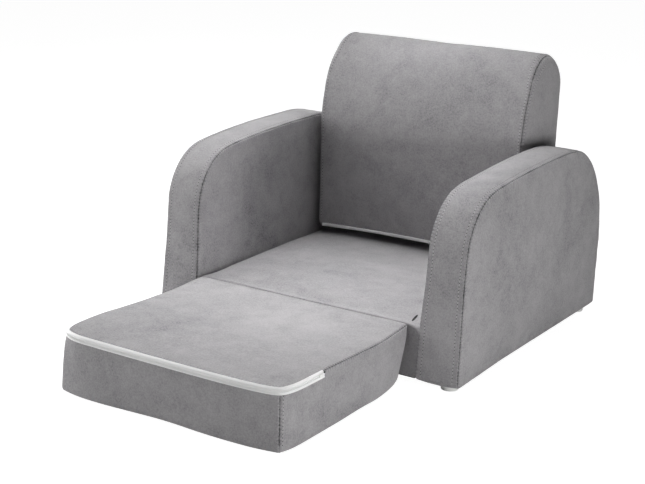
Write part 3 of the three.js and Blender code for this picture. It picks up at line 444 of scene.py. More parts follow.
def soften(points, normals, gaps, seed, calm, pucker=0.5, swell=0.9):
    """Small puckers along the seams and slow swells over the foam; calm lowers both where cloth is tight."""
    moved = points.copy()
    for i, point in enumerate(points):
        near = math.exp(-(gaps[i] / 9.0) ** 2)
        rise = swell * (0.7 * wave(point, 95.0, seed) + 0.3 * wave(point, 34.0, seed + 1))
        rise += pucker * near * (wave(point, 11.0, seed + 2) + 0.5 * wave(point, 24.0, seed + 3))
        moved[i] = point + normals[i] * rise * calm[i]
    return moved


# Cloth under pressure, held at its seams, in millimetres

CLOTH_VOXEL = 7.0
CLOTH_PRESSURE = 4.0
CLOTH_FRAMES = 20
CLOTH_CAP = 2.6
CLOTH_START = 1.3  # it starts this far inside its finished form
CLOTH_HELD = 4.0  # a seam holds the cloth this far to each side
CLOTH_SEAM_REACH = 12
CLOTH_STILL = 0.05  # cloth less free than this is held
CLOTH_NEIGHBOURS = 5


def tree_of(points):
    tree = KDTree(len(points))
    for i, point in enumerate(points):
        tree.insert(Vector(point), i)
    tree.balance()
    return tree


def pressed_out(cover, seams, free):
    """How a cover's points move when its cloth is blown up; free is from 0, held, to 1, loose."""
    fine, normals = places_of(cover.data), normals_of(cover.data)
    inward = CLOTH_START * MM * free * (1 - np.exp(-seams / CLOTH_SEAM_REACH))
    faces = [tuple(p.vertices) for p in cover.data.polygons]
    cloth = new_object("cloth", mesh_from("cloth", fine - normals * inward[:, None], faces))
    voxels = cloth.modifiers.new("voxels", "REMESH")
    voxels.mode = "VOXEL"
    voxels.voxel_size = CLOTH_VOXEL * MM
    graph = bpy.context.evaluated_depsgraph_get()
    cloth.data = bpy.data.meshes.new_from_object(cloth.evaluated_get(graph))
    cloth.modifiers.clear()
    start = places_of(cloth.data)
    tree = tree_of(fine)
    nearest = np.array([tree.find(Vector(point))[1] for point in start])
    held = np.flatnonzero((seams[nearest] < CLOTH_HELD) | (free[nearest] < CLOTH_STILL))
    cloth.vertex_groups.new(name="held").add([int(i) for i in held], 1.0, "REPLACE")
    modifier = cloth.modifiers.new("cloth", "CLOTH")
    modifier.settings.vertex_group_mass = "held"
    modifier.settings.use_pressure = True
    modifier.settings.uniform_pressure_force = CLOTH_PRESSURE
    modifier.settings.effector_weights.gravity = 0
    modifier.point_cache.frame_start = 1
    modifier.point_cache.frame_end = CLOTH_FRAMES
    for frame in range(1, CLOTH_FRAMES + 1):
        bpy.context.scene.frame_set(frame)
    graph = bpy.context.evaluated_depsgraph_get()
    moves = places_of(cloth.evaluated_get(graph).data) - start
    sizes = np.linalg.norm(moves, axis=1)
    moves *= np.minimum(1, CLOTH_CAP * MM / np.maximum(sizes, 1e-9))[:, None]
    cloth.modifiers.clear()
    bpy.data.objects.remove(cloth)
    bpy.context.scene.frame_set(1)
    tree = tree_of(start)
    carried = np.zeros_like(fine)
    for i, point in enumerate(fine):
        found = tree.find_n(Vector(point), CLOTH_NEIGHBOURS)
        weights = np.array([1 / (distance + 1e-3) ** 2 for _, _, distance in found])
        carried[i] = (weights[:, None] * moves[[index for _, index, _ in found]]).sum(0) / weights.sum()
    return carried * free[:, None] - normals * inward[:, None]


THREAD_SIDES = 6
THREAD_STATIONS = ((-0.86, 0.72), (-0.5, 1.0), (0.5, 1.0), (0.86, 0.72))  # shares of half length, radius
THREAD_BOW = 0.7  # how far its ends dip into the cloth, as a share of its radius


def capsules(name, centres, runs, ups, length, radius, flat=0.8):
    """Short threads, each a rounded bar along its run."""
    points, faces = [], []
    turns = [2 * math.pi * side / THREAD_SIDES for side in range(THREAD_SIDES)]
    for centre, run, up in zip(centres, runs, ups):
        across = np.cross(run, up)
        start = len(points) + 1
        points.append(centre - run * length / 2)
        for along, size in THREAD_STATIONS:
            bow = -along ** 2 * radius * THREAD_BOW
            points += [centre + run * along * length / 2 + across * math.cos(turn) * radius * size
                       + up * (math.sin(turn) * radius * size * flat + bow) for turn in turns]
        points.append(centre + run * length / 2)
        end = len(points) - 1
        faces += tube(THREAD_SIDES, len(THREAD_STATIONS), start)
        for tip, ring in ((start - 1, start), (end, end - THREAD_SIDES)):
            faces += [(tip, ring + (side + 1) % THREAD_SIDES, ring + side) for side in range(THREAD_SIDES)]
    return new_object(name, mesh_from(name, points, faces))


def resampled(path, pitch, is_closed):
    """Points every pitch along a path, with the path's direction there."""
    loop = joined(path) if is_closed else path
    along = lengths_along(loop)
    count = max(int(along[-1] / pitch), 2)
    places = (np.arange(count) + 0.5) * along[-1] / count
    runs = (sampled(np.minimum(places + pitch / 4, along[-1]), along, loop)
            - sampled(np.maximum(places - pitch / 4, 0), along, loop))
    return sampled(places, along, loop), runs / np.linalg.norm(runs, axis=1)[:, None], places / along[-1]


def stitch_on(name, path, cover, is_closed=False, keep=None):
    """Topstitching on a cover's surface along a path near it."""
    surface = surface_of(cover)
    points, runs, _ = resampled(path, STITCH_PITCH * MM, is_closed)
    centres, ways, ups = [], [], []
    for point, run in zip(points, runs):
        if keep is not None and not keep(point):
            continue
        place, normal, _, _ = surface.find_nearest(Vector(point))
        normal = np.array(normal)
        way = run - normal * (run @ normal)
        centres.append(np.array(place) + normal * STITCH_RADIUS * MM * THREAD_RAISED)
        ways.append(way / np.linalg.norm(way))
        ups.append(normal)
    threads = capsules(name, centres, ways, ups, STITCH_LENGTH * MM, STITCH_RADIUS * MM)
    # Dark bars sunk between the threads are painted shade in the needle holes.
    between = [c + w * STITCH_PITCH / 2 * MM - u * HOLE_SUNK * MM for c, w, u in zip(centres, ways, ups)]
    holes = capsules(name + "_holes", between, ways, ups, HOLE_LENGTH * MM, HOLE_RADIUS * MM, flat=0.5)
    return threads, holes


# Materials

PAINTED_PUCKER_SHADING = 0.09  # added to the suede's tone: painted light and shade on puckers, and painted shade beside a seam and in its groove
PAINTED_SHADE_BESIDE_SEAM = -0.05
PAINTED_GROOVE_SHADE = -0.47


def linear(hex_colour):
    channels = [int(hex_colour[i:i + 2], 16) / 255 for i in (0, 2, 4)]
    return [c / 12.92 if c <= 0.04045 else ((c + 0.055) / 1.055) ** 2.4 for c in channels] + [1.0]


class Shader:
    """A principled material whose nodes are added by name."""

    def __init__(self, name, **values):
        self.material = bpy.data.materials.new(name)
        self.material.use_nodes = True
        self.tree = self.material.node_tree
        self.surface = self.tree.nodes["Principled BSDF"]
        self.coordinates = self.add("ShaderNodeTexCoord")
        for socket, value in values.items():
            self.surface.inputs[socket.replace("_", " ")].default_value = value

    def add(self, kind, settings=None, **inputs):
        node = self.tree.nodes.new(kind)
        for key, value in (settings or {}).items():
            setattr(node, key, value)
        for key, value in inputs.items():
            self.feed(node, key.replace("_", " "), value)
        return node

    def feed(self, node, socket, value):
        target = node.inputs[int(socket)] if socket.isdigit() else node.inputs[socket]
        if isinstance(value, bpy.types.NodeSocket):
            self.tree.links.new(value, target)
        else:
            target.default_value = value

    def noise(self, scale, detail=2.0, roughness=0.5, stretch=(1, 1, 1), distortion=0.0):
        place = self.coordinates.outputs["Object"]
        mapping = self.add("ShaderNodeMapping", None, Vector=place, Scale=stretch)
        return self.add("ShaderNodeTexNoise", None, Vector=mapping.outputs["Vector"], Scale=scale,
                        Detail=detail, Roughness=roughness, Distortion=distortion).outputs["Fac"]

    def maths(self, operation, first, second):
        node = self.add("ShaderNodeMath", {"operation": operation})
        self.feed(node, "0", first)
        self.feed(node, "1", second)
        return node.outputs[0]

    def spread(self, value, low, high, start=0.3, end=0.7):
        node = self.add("ShaderNodeMapRange", None, Value=value)
        for socket, number in (("From Min", start), ("From Max", end), ("To Min", low), ("To Max", high)):
            node.inputs[socket].default_value = number
        return node.outputs["Result"]

    def falloff(self, distance, reach):
        """One at no distance, fading to zero within about twice the reach."""
        share = self.maths("DIVIDE", distance, reach)
        return self.maths("EXPONENT", self.maths("MULTIPLY", self.maths("MULTIPLY", share, share), -1.0), 0.0)

    def ramp(self, value, *stops):
        node = self.add("ShaderNodeValToRGB", None, Fac=value)
        points = node.color_ramp.elements
        while len(points) < len(stops):
            points.new(0.5)
        for point, (place, colour) in zip(points, stops):
            point.position = place
            point.color = colour
        return node.outputs["Color"]

    def bump(self, height, strength, distance, normal=None):
        node = self.add("ShaderNodeBump", None, Height=height, Strength=strength, Distance=distance)
        if normal is not None:
            self.feed(node, "Normal", normal)
        return node.outputs["Normal"]

    def connect(self, socket, value):
        self.feed(self.surface, socket, value)


def suede_material(name, painted_seam_shade, dark, middle, light):
    """Brushed micro-suede with painted shade in its seam grooves and just beside them, and small puckers
    beside the seams, drawn in its relief and painted as light and shade in its tone.
    """
    made = Shader(name, Roughness=0.94, Sheen_Weight=0.28, Sheen_Roughness=0.45, Specular_IOR_Level=0.18)
    brushed = made.noise(7.0, detail=3.0, roughness=0.6, stretch=(0.55, 1.0, 1.0), distortion=0.7)
    mottle = made.noise(38.0, detail=4.0, roughness=0.65, distortion=0.4)
    nap = made.noise(420.0, detail=3.0, roughness=0.7)
    fibre = made.noise(1500.0, detail=2.0, roughness=0.6, stretch=(1.0, 1.0, 1.6))
    gap = made.add("ShaderNodeAttribute", {"attribute_name": "seam_gap"}).outputs["Fac"]
    run = made.add("ShaderNodeAttribute", {"attribute_name": "seam_run"}).outputs["Fac"]
    groove = made.falloff(gap, SEAM_SHADE)
    beside = made.falloff(gap, PUCKER_REACH)
    uneven = made.maths("ADD", run, made.maths("MULTIPLY", made.spread(mottle, -1.0, 1.0), 1.2))
    turns = made.maths("SINE", made.maths("MULTIPLY", uneven, 2 * math.pi / STITCH_PITCH), 0.0)
    drawn = made.maths("MULTIPLY", made.maths("MULTIPLY", turns, beside), made.maths("SUBTRACT", 1.0, groove))
    tone = made.maths("ADD", made.spread(brushed, -0.16, 0.16), made.spread(mottle, -0.13, 0.13))
    grain = made.maths("ADD", made.spread(nap, -0.24, 0.24), made.spread(fibre, -0.14, 0.14))
    total = made.maths("ADD", made.maths("ADD", tone, grain), 0.5)
    # The puckers add painted light and shade to the tone. The groove and the cloth beside it add painted
    # shade.
    for part, strength in ((drawn, PAINTED_PUCKER_SHADING), (beside, PAINTED_SHADE_BESIDE_SEAM), (groove, PAINTED_GROOVE_SHADE)):
        total = made.maths("ADD", total, made.maths("MULTIPLY", part, strength))
    stops = zip((0.0, 0.18, 0.5, 1.0), (painted_seam_shade, dark, middle, light))
    made.connect("Base Color", made.ramp(total, *((place, linear(tone)) for place, tone in stops)))
    relief = made.bump(mottle, 0.25, 0.0012)
    relief = made.bump(nap, 0.35, 0.0005, relief)
    relief = made.bump(drawn, 0.7, 0.0009, relief)
    made.connect("Normal", made.bump(fibre, 0.4, 0.0002, relief))
    return made.material


def plain_material(name, colour, roughness, mottle=0.06, scale=120.0, bump=0.0004, **values):
    """A surface with a little variation of tone and relief."""
    made = Shader(name, Roughness=roughness, **values)
    grain = made.noise(scale, detail=4.0, roughness=0.6)
    low = [c * (1 - mottle) for c in linear(colour)[:3]] + [1.0]
    high = [min(c * (1 + mottle), 1) for c in linear(colour)[:3]] + [1.0]
    made.connect("Base Color", made.ramp(grain, (0.3, low), (0.7, high)))
    made.connect("Normal", made.bump(grain, 0.3, bump))
    return made.material


def wood_material(name, dark, light, stretch, scale):
    made = Shader(name, Roughness=0.75, Specular_IOR_Level=0.25)
    rings = made.noise(scale, detail=5.0, roughness=0.6, stretch=stretch, distortion=1.2)
    pores = made.noise(scale * 9, detail=2.0, stretch=stretch)
    both = made.maths("ADD", made.spread(rings, 0.1, 0.9), made.spread(pores, -0.12, 0.12))
    made.connect("Base Color", made.ramp(both, (0.0, linear(dark)), (1.0, linear(light))))
    made.connect("Normal", made.bump(pores, 0.3, 0.0003))
    return made.material


def foam_material(name):
    made = Shader(name, Roughness=0.98, Specular_IOR_Level=0.1, Subsurface_Weight=0.1)
    cells = made.noise(900.0, detail=3.0, roughness=0.7)
    cloud = made.noise(18.0, detail=2.0)
    both = made.maths("ADD", made.spread(cells, 0.1, 0.9), made.spread(cloud, -0.15, 0.15))
    made.connect("Base Color", made.ramp(both, (0.0, linear("CFC395")), (1.0, linear("F2EBCF"))))
    made.connect("Normal", made.bump(cells, 0.5, 0.0005))
    return made.material


# its first colour is the painted shade in the seam grooves
SUEDE = suede_material("suede", "3A3A3B", "8A898B", "A2A0A2", "B8B6B8")
HIDDEN_SUEDE = plain_material("suede_plain", "A2A0A2", 0.94, scale=420.0, bump=0.0005)
THREAD = plain_material("thread", "BDBBBD", 0.8, scale=2600.0, bump=0.0001)
# painted shade in the open end of the pad's zip
ZIP_OPENING_SHADE = plain_material("zip_opening_shade", "151515", 0.98, scale=900.0, bump=0.0001)
# painted shadow for the slit behind the seat's front right corner
SLIT_SHADOW = plain_material("slit_shadow", "1E1E1E", 0.98, scale=900.0, bump=0.0001)
# painted shade in the needle holes between stitches
STITCH_HOLE_SHADE = plain_material("stitch_hole_shade", "4A494A", 0.95, scale=900.0, bump=0.0001)
ZIP_TAPE = plain_material("zip_tape", "FFFFFE", 0.8, mottle=0.03, scale=1400.0, bump=0.0002)
ZIP_COIL = plain_material("zip_coil", "FBFBFA", 0.45, mottle=0.03, scale=600.0, bump=0.0001)
FOOT = plain_material("foot_plastic", "F2F2F0", 0.35, mottle=0.03, scale=60.0, bump=0.0001)
DUST_SHEET = plain_material("dust_sheet", "1D1D1F", 0.95, mottle=0.25, scale=700.0, bump=0.0003)
STEEL = plain_material("zinc_steel", "C3C6C9", 0.32, mottle=0.05, scale=300.0, bump=0.0001, Metallic=1.0)
PINE = wood_material("pine", "B08F5E", "DCC39A", (1.0, 0.06, 0.4), 30.0)
PLYWOOD = wood_material("plywood", "AD8A5B", "D2B48A", (0.5, 0.12, 1.0), 22.0)
FOAM = foam_material("foam")

NODE_MATERIALS = {
    "foam": FOAM,
    "panel": PLYWOOD,
    "deck": PLYWOOD,
    "board": PLYWOOD,
    "rail": PINE,
    "post": PINE,
    "bolt": STEEL,
    "nut": STEEL,
    "nail": STEEL,
    "foot": FOOT,
    "dust": DUST_SHEET,
    "zip": ZIP_COIL,
    "cover": HIDDEN_SUEDE,
    "strip": HIDDEN_SUEDE,
}
for node_name, node in frame["nodes"].items():
    node.data.materials.clear()
    node.data.materials.append(next(m for word, m in NODE_MATERIALS.items() if word in node_name))


def finish_piece(obj, material, body, slot, *nodes, fill=None):
    obj.data.materials.clear()
    obj.data.materials.append(material)
    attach(obj, body)
    if nodes:
        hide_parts(*nodes)
    return obj


def sewn(form, name, place, seed=0, calm=None, pucker=0.5, swell=0.9, seams=None, runs=None, loose=None):
    """The mesh of a stuffed form, softened where it isn't calm, placed, and blown up where it is loose."""
    seams = form.gaps if seams is None else seams
    soft = form.points
    if calm is not None:
        normals = normals_of(mesh_from(name, form.points, form.faces))
        soft = soften(form.points, normals, form.gaps, seed, calm(form.points), pucker, swell)
    made = new_object(name, mesh_from(name, place(soft) * MM, form.faces))
    # seam_gap places the suede's painted seam shade, and seam_run spaces its shaded puckers
    set_values(made, "seam_gap", seams)
    set_values(made, "seam_run", form.runs if runs is None else runs)
    if loose is not None:
        moves = pressed_out(made, np.minimum(seams, form.gaps), loose(form.points))
        made.data.vertices.foreach_set("co", (places_of(made.data) + moves).astype(np.float32).ravel())
        made.data.update()
    return made


def foam_block(name, place, body, node, *form, **more):
    """The foam inside a cover, without seams."""
    block = Stuffed(*form, seam_depth=(0, 0), **more)
    return finish_piece(sewn(block, name, place), FOAM, body, "foam", node, fill=1.0)


def sew(name, path, cover, body, is_closed=False, keep=None):
    for thread, material in zip(stitch_on(name, path, cover, is_closed, keep), (THREAD, STITCH_HOLE_SHADE)):
        finish_piece(thread, material, body, "suede")


def stitch_rings(form, target):
    """The two rings of the band that carry the topstitching."""
    band = [i for i, section in enumerate(form.sections) if section[3] == "band"]
    half = len(band) // 2
    return tuple(form.rings[min(part, key=lambda i: abs(form.sections[i][2] - target))]
                 for part in (band[:half], band[half:]))


COVER_FILL = 0.9
NO_SEAM = 99  # so far away that no seam shows
FOAM_MARKS = (3.0, 12.0)

# Arms. A zone is (start, reach): over it, a share rises from 0 to 1.

ARM_FRONT_LEAN = 15
ARM_REAR_LEAN = 5
ARM_FRONT_ROUND = (82, 85)
ARM_REAR_ROUND = (122, 157)
ARM_TOP_RISE = 12
ARM_BULGE = 1.5
ARM_FOAM_INSET = 5.0
ARM_FOAM_ACROSS = 3.0
ARM_OUTER_CROWN = 4
ARM_INNER_CROWN = 1.6
ARM_CROWNS = {"low_crown": (ARM_INNER_CROWN, 40), "high_crown": (ARM_OUTER_CROWN, 34)}
ARM_EDGE_RADIUS = 4.6
ARM_FOOT_CORNER = 5
ARM_ROUNDER = (60, 60)  # the zone of height where the outline's kinks are softened more
ARM_SPLAY = 5  # how far the outer face spreads at its lower front corner
ARM_AHEAD = (60, -150)
ARM_LEAN_IN = 4.2  # how far the inner face comes out in front of the seat
ARM_LEAN_DOWN = (190, -90)
ARM_LEAN_AHEAD = (-63, -13)
ARM_FOOT_DROP = 2.5
ARM_FOOT_FORWARD = 3.0
ARM_FOOT_AHEAD = (-20, -55)
ARM_ARCH = 6
ARM_ARCH_MIDDLE = 118
ARM_ARCH_REACH = 165
ARM_ARCH_UP = (150, 120)
ARM_MARKS = (1.6, 3.0, 4.6, 6.6, 10.0)
ARM_CORNERS = (0.005, 0.17, 0.57, 0.665)
ARM_STITCHES = 8.0  # from the seam
ARM_INNER_CALM = 0.4
ARM_INNER_LOOSE = 0.35
ARM_SEEDS = {"left": 11, "right": 3}


def arm_shape(low, high):
    y0, y1 = low[1] + ARM_BULGE, high[1] - ARM_BULGE
    z0, z1 = low[2], high[2] - ARM_BULGE
    foot = (ARM_FOOT_CORNER, ARM_FOOT_CORNER)
    corners = ((y0, z0, foot, 270, 14, 170),
               (y0 + ARM_FRONT_LEAN, z1 - ARM_TOP_RISE, ARM_FRONT_ROUND, 180, 130, 260),
               (y1, z1, ARM_REAR_ROUND, 90, 215, 115),
               (y1 - ARM_REAR_LEAN, z0, foot, 0, 14, 460))
    loop, rounder = rounded(corners, -1, 5), rounded(corners, -1, 15)
    loop = loop + (rounder - loop) * within(loop[:, 1:], ARM_ROUNDER)
    return lambda level: loop


def make_arm(label, side):
    low, high = box_mm(f"arm_cover_{label}")
    near, far = (low[0], high[0]) if side > 0 else (-high[0], -low[0])
    inner, outer = near + ARM_OUTER_CROWN, far - ARM_OUTER_CROWN
    form = Stuffed(Outline(arm_shape(low, high), ARM_CORNERS, 44, 58), inner, outer, ARM_EDGE_RADIUS,
                   ARM_EDGE_RADIUS, ARM_BULGE, ARM_MARKS, 7, **ARM_CROWNS)

    def splay(points):
        """The outer face leans out a little towards its lower front corner, and the top arches up."""
        x, y, z = points.T
        share_out = within(x, (inner, outer - inner))
        down, ahead = within(z, (high[2] / 2, -high[2] / 2)), within(y, ARM_AHEAD)
        beside_pad = within(z, ARM_LEAN_DOWN) * within(y, ARM_LEAN_AHEAD)
        along = np.clip(1 - ((y - ARM_ARCH_MIDDLE) / ARM_ARCH_REACH) ** 2, 0, 1)
        moved = points.copy()
        moved[:, 0] += ARM_SPLAY * share_out * down * ahead - ARM_LEAN_IN * (1 - share_out) ** 2 * beside_pad
        moved[:, 1] -= ARM_FOOT_FORWARD * down * within(y, ARM_FOOT_AHEAD)
        moved[:, 2] += (ARM_ARCH * (eased(within(z, ARM_ARCH_UP)) * along)
                        - ARM_FOOT_DROP * (1 - share_out) * down ** 8 * ahead ** 2)
        moved[:, 0] *= side
        return moved

    calm = lambda p: (np.maximum(within(p[:, 2], (low[2], 12)), 0.15)
                      * np.where(p[:, 0] < inner + 1, ARM_INNER_CALM, 1))
    loose = lambda p: within(p[:, 2], (low[2] + 6, 30)) * np.where(p[:, 0] < inner + 2, ARM_INNER_LOOSE, 1)
    cover = sewn(form, f"arm_{label}_cover", splay, ARM_SEEDS[label], calm, loose=loose)
    points = places_of(cover.data)
    finish_piece(subdivided(cover), SUEDE, "base", "suede", f"arm_cover_{label}", fill=COVER_FILL)
    for which, ring in zip(("inner", "outer"), stitch_rings(form, ARM_STITCHES)):
        sew(f"arm_{label}_stitches_{which}", points[ring], cover, "base", True,
            keep=lambda p: p[2] > (low[2] + 8) * MM)
    lined = Outline(arm_shape(low + ARM_FOAM_INSET, high - ARM_FOAM_INSET), ARM_CORNERS, 30, 40)
    foam_block(f"arm_{label}_foam", splay, "base", f"arm_foam_{label}", lined, inner + ARM_FOAM_ACROSS,
               outer - ARM_FOAM_ACROSS, 2, 2, 0, FOAM_MARKS, 4, **ARM_CROWNS)


make_arm("left", -1)
make_arm("right", 1)

# Zips

ZIP_TOOTH_PITCH = 1.6
ZIP_TOOTH_LEAN = 0.28
ZIP_TOOTH_RADIUS = 0.42  # as a share of the pitch
ZIP_SECTION = ((-1.6, -6.2), (-0.3, -5.8), (0.25, -5.2), (0.55, -3.8), (0.45, -2.4), (0.15, -2.0),
               (0.55, -1.6), (0.95, -0.6), (1.0, 0.4), (0.75, 1.2), (0.3, 1.6), (0.6, 2.1), (0.5, 3.6),
               (0.1, 4.9), (-0.7, 5.8), (-1.9, 6.2))
SLIDER_SECTION = ((0.2, -2.7), (0.8, -2.9), (1.6, -2.6), (2.0, -1.5), (2.1, 0.0), (2.0, 1.5), (1.6, 2.6),
                  (0.8, 2.9), (0.2, 2.7))
SLIDER_STATIONS = ((0, 0.62, 0.7), (0.6, 0.8, 0.92), (2.4, 1.0, 1.0), (5.0, 0.86, 0.96), (7.6, 0.9, 1.0),
                   (9.6, 0.78, 0.92), (10.6, 0.5, 0.66))


def make_zip(name, path, out, up, section, depth, tooth, centre, body, node):
    """A zip's tape, carried along a path with a flat back at a depth, and the coil on it."""
    section = [*section, (depth, section[-1][1]), (depth, section[0][1])]
    points = np.concatenate([[place + o * outward + u * rise for o, u in section]
                             for place, outward, rise in zip(path, out, up)])
    finish_piece(capped_tube(name, points, len(section)), ZIP_TAPE, body, "zip_nylon", node)
    centres, runs, shares = resampled(path, ZIP_TOOTH_PITCH, False)
    steps = np.arange(len(path))
    index = np.interp(shares, np.linspace(0, 1, len(path)), steps)
    outs, ups = sampled(index, steps, out), sampled(index, steps, up)
    lean = ups + runs * ZIP_TOOTH_LEAN
    lean /= np.linalg.norm(lean, axis=1)[:, None]
    centres = (centres + outs * centre[0] + ups * centre[1]) * MM
    coil = capsules(name + "_coil", centres, lean, outs, tooth * MM, ZIP_TOOTH_PITCH * ZIP_TOOTH_RADIUS * MM,
                    flat=0.7)
    finish_piece(coil, ZIP_COIL, body, "zip_nylon")


def make_slider(name, start, run, out, node):
    """A zip slider without a pull tab, waisted between its nose and its tail."""
    run, out = np.array(run, float), np.array(out, float)
    up = np.cross(out, run)
    points = [start + run * along + out * o * tall + up * u * wide
              for along, wide, tall in SLIDER_STATIONS for o, u in SLIDER_SECTION]
    made = subdivided(capped_tube(name, points, len(SLIDER_SECTION)), 2)
    finish_piece(made, ZIP_COIL, node, "zip_nylon", node)


# Backrest

BACK_SWELL = 5
BACK_CROWN = 8
BACK_CROWNS = {"low_crown": (BACK_CROWN, 30), "high_crown": (BACK_CROWN, 30)}
BACK_ROLL = (78, 153)
BACK_ROLL_SHARES = ((0, 0.47), (0.38, 0.96))
BACK_REAR_ROUND = 50
BACK_REAR_LEAN = 9
BACK_TOP_RADIUS = 12
BACK_TOP_ZONE = (-62, 50)  # from the top
BACK_LOW_RADIUS = 5
BACK_TOP_RISE = 3
BACK_RISE_REACH = 90
BACK_THICKNESS = 134
BACK_ARCH = 6  # how far the front's lower edge arches up between its corners
BACK_ARCH_UP = 70
BACK_ARCH_BACK = (52, -40)  # from the front
BACK_FOOT_CORNER = 5
BACK_CORNERS = (0.005, 0.385, 0.475, 0.87)
BACK_MARKS = (1.6, 3.0, 4.6, 6.6, 10.0, 18.0)
BACK_SEAM_ANGLES = (36, 36)
BACK_STITCHES = 5.0  # from the seam
BACK_FOAM_INSET = 5
BACK_FOAM_RADIUS = 9
BACK_ZIP_RISE = 1.2  # the CAD zip's coil above its tape
BACK_ZIP_STEPS = 90
BACK_ZIP_DEPTH = -2.0
BACK_ZIP_TOOTH = 2.2


def bezier(points, count):
    share = np.linspace(0, 1, count)[:, None]
    p0, p1, p2, p3 = (np.array(p, float) for p in points)
    left = 1 - share
    return left ** 3 * p0 + 3 * left ** 2 * share * p1 + 3 * left * share ** 2 * p2 + share ** 3 * p3


def make_backrest():
    low, high = box_mm("back_cover")
    front = box_mm("back_zip")[0][1] + BACK_ZIP_RISE
    rear = front + BACK_THICKNESS
    bottom, top = low[2], high[2]
    half = high[0] - BACK_CROWN
    corner = BACK_FOOT_CORNER
    roll_z = top - BACK_ROLL[1]

    def loop_for(inset):
        y0, y1, z0, z1 = front + inset, rear - inset, bottom + inset, top - inset
        roll_end = (front + BACK_ROLL[0], z1)
        handles = [(y0 + (roll_end[0] - y0) * a, roll_z + (z1 - roll_z) * b) for a, b in BACK_ROLL_SHARES]
        return closed([
            arc((y0 + corner, z0 + corner), (corner, corner), 270, 180, 14),
            line((y0, z0 + corner), (y0, roll_z), 165),
            bezier([(y0, roll_z), *handles, roll_end], 190),
            arc((roll_end[0], z1 - BACK_REAR_ROUND), (y1 - roll_end[0], BACK_REAR_ROUND), 90, 0, 85),
            line((y1, z1 - BACK_REAR_ROUND), (y1 - BACK_REAR_LEAN, z0 + corner), 265),
            arc((y1 - BACK_REAR_LEAN - corner, z0 + corner), (corner, corner), 0, -90, 14),
            line((y1 - BACK_REAR_LEAN - corner, z0), (y0 + corner, z0), 115),
        ], 5)

    loop = loop_for(0)
    outline = Outline(lambda level: loop, BACK_CORNERS, 52, 18)
    near_top = within(outline.ring(0)[:, 1], (top + BACK_TOP_ZONE[0], BACK_TOP_ZONE[1]))
    radius = BACK_LOW_RADIUS + (BACK_TOP_RADIUS - BACK_LOW_RADIUS) * eased(near_top)
    form = Stuffed(outline, -half, half, radius, radius, 0, BACK_MARKS, 22, seam_angles=BACK_SEAM_ANGLES,
                   **BACK_CROWNS)

    def swell(points):
        """The faces swell over the foam between the seams, and the lower front edge arches up."""
        moved = points.copy()
        x, y, z = moved.T
        across = np.clip(1 - (x / half) ** 2, 0, 1)
        out = BACK_SWELL * across * np.sin(np.pi * within(z, (bottom, top - bottom)))
        moved[:, 1] += np.where(y < (front + rear) / 2, -out, out)
        near_top = within(z, (top - BACK_RISE_REACH, BACK_RISE_REACH))
        moved[:, 2] += BACK_TOP_RISE * near_top * near_top * np.clip(1 - (np.abs(x) / half) ** 4, 0, 1)
        low_down = within(z, (bottom + BACK_ARCH_UP, -BACK_ARCH_UP))
        ahead = within(y, (front + BACK_ARCH_BACK[0], BACK_ARCH_BACK[1]))
        moved[:, 2] += BACK_ARCH * across * eased(low_down) * eased(ahead)
        return moved

    calm = lambda p: np.maximum(within(p[:, 2], (bottom, 10)), 0.2)
    loose = lambda p: within(p[:, 2], (bottom + 22, 30))
    cover = sewn(form, "backrest_cover", swell, 21, calm, loose=loose)
    points = places_of(cover.data)
    finish_piece(subdivided(cover), SUEDE, "base", "suede", "back_cover", fill=COVER_FILL)
    for which, ring in zip(("left", "right", "left_side", "right_side"),
                           (*stitch_rings(form, BACK_STITCHES), form.rings[0], form.rings[-1])):
        sew(f"backrest_stitches_{which}", points[ring], cover, "base", True,
            keep=lambda p: p[2] > (bottom + 16) * MM)
    inner_loop, reach = loop_for(BACK_FOAM_INSET), half - BACK_FOAM_INSET
    lined = Outline(lambda level: inner_loop, BACK_CORNERS, 30, 12)
    foam_block("backrest_foam", swell, "base", "back_foam", lined, -reach, reach, BACK_FOAM_RADIUS,
               BACK_FOAM_RADIUS, 0, (4.0, 30.0), 8, **BACK_CROWNS)

    # The zip along the lower front edge
    zip_low, zip_high = box_mm("back_zip")
    across = np.linspace(zip_low[0], zip_high[0], BACK_ZIP_STEPS)
    rest = np.tile([front, (zip_low[2] + zip_high[2]) / 2 - 1.0], (BACK_ZIP_STEPS, 1))
    path = swell(np.column_stack([across, rest]))
    out, up = (np.tile(way, (BACK_ZIP_STEPS, 1)) for way in ([0, -1.0, 0], [0, 0, 1.0]))
    section = [(o * 0.8 + 0.3, u * 0.42) for o, u in ZIP_SECTION]
    make_zip("backrest_zip", path, out, up, section, BACK_ZIP_DEPTH, BACK_ZIP_TOOTH, (0.9, 0.0), "base",
             "back_zip")
    make_slider("backrest_zip_slider", path[-1] + (-0.5, 0.3, 0.0), (-1, 0, 0), (0, -1, 0), "back_zip_slider")


make_backrest()

# Seat base

SEAT_EDGE_RADIUS = 8
HINGE_EDGE_RADIUS = 2.2  # at the cloth hinge, on the seat and on the pad
SEAT_CROWN = (3, 60)
SEAT_FRONT_LEAN = 12.4
SEAT_PRESSED = 0.6  # how far its sides fill out between the arms
SEAT_SAG = 2.2  # beside each arm
SEAT_SAG_ACROSS = 22
SEAT_SAG_ALONG = (-28, 34)  # its middle and its reach
SEAT_CORNER_DROP = 8  # how far the top's front right corner is pulled down
SEAT_DROP_ACROSS = (172, 22)
SEAT_DROP_AHEAD = (-46, -26)
SEAT_CORNER = 3
SEAT_UPPER_CORNER = 16  # its upper front right corner is drawn in
SEAT_UPPER_LEVELS = (0.80, 0.2)
SEAT_CORNER_BACK = 1.4
SEAT_CORNERS = (0.02, 0.3, 0.49, 0.77)
SEAT_FOAM_INSET = 5
SEAT_SLIT_SHADOW = ((174.5, -58.0), (165.5, -20.0))  # a crease behind that corner, drawn as a dark bar of painted shadow in its slit
SEAT_SLIT_SHADOW_LENGTH = 38
SEAT_SLIT_SHADOW_RADIUS = 2.4


def inset_loop(loop, distance):
    """A closed outline drawn in by a distance."""
    return loop + inward_of(loop) * distance


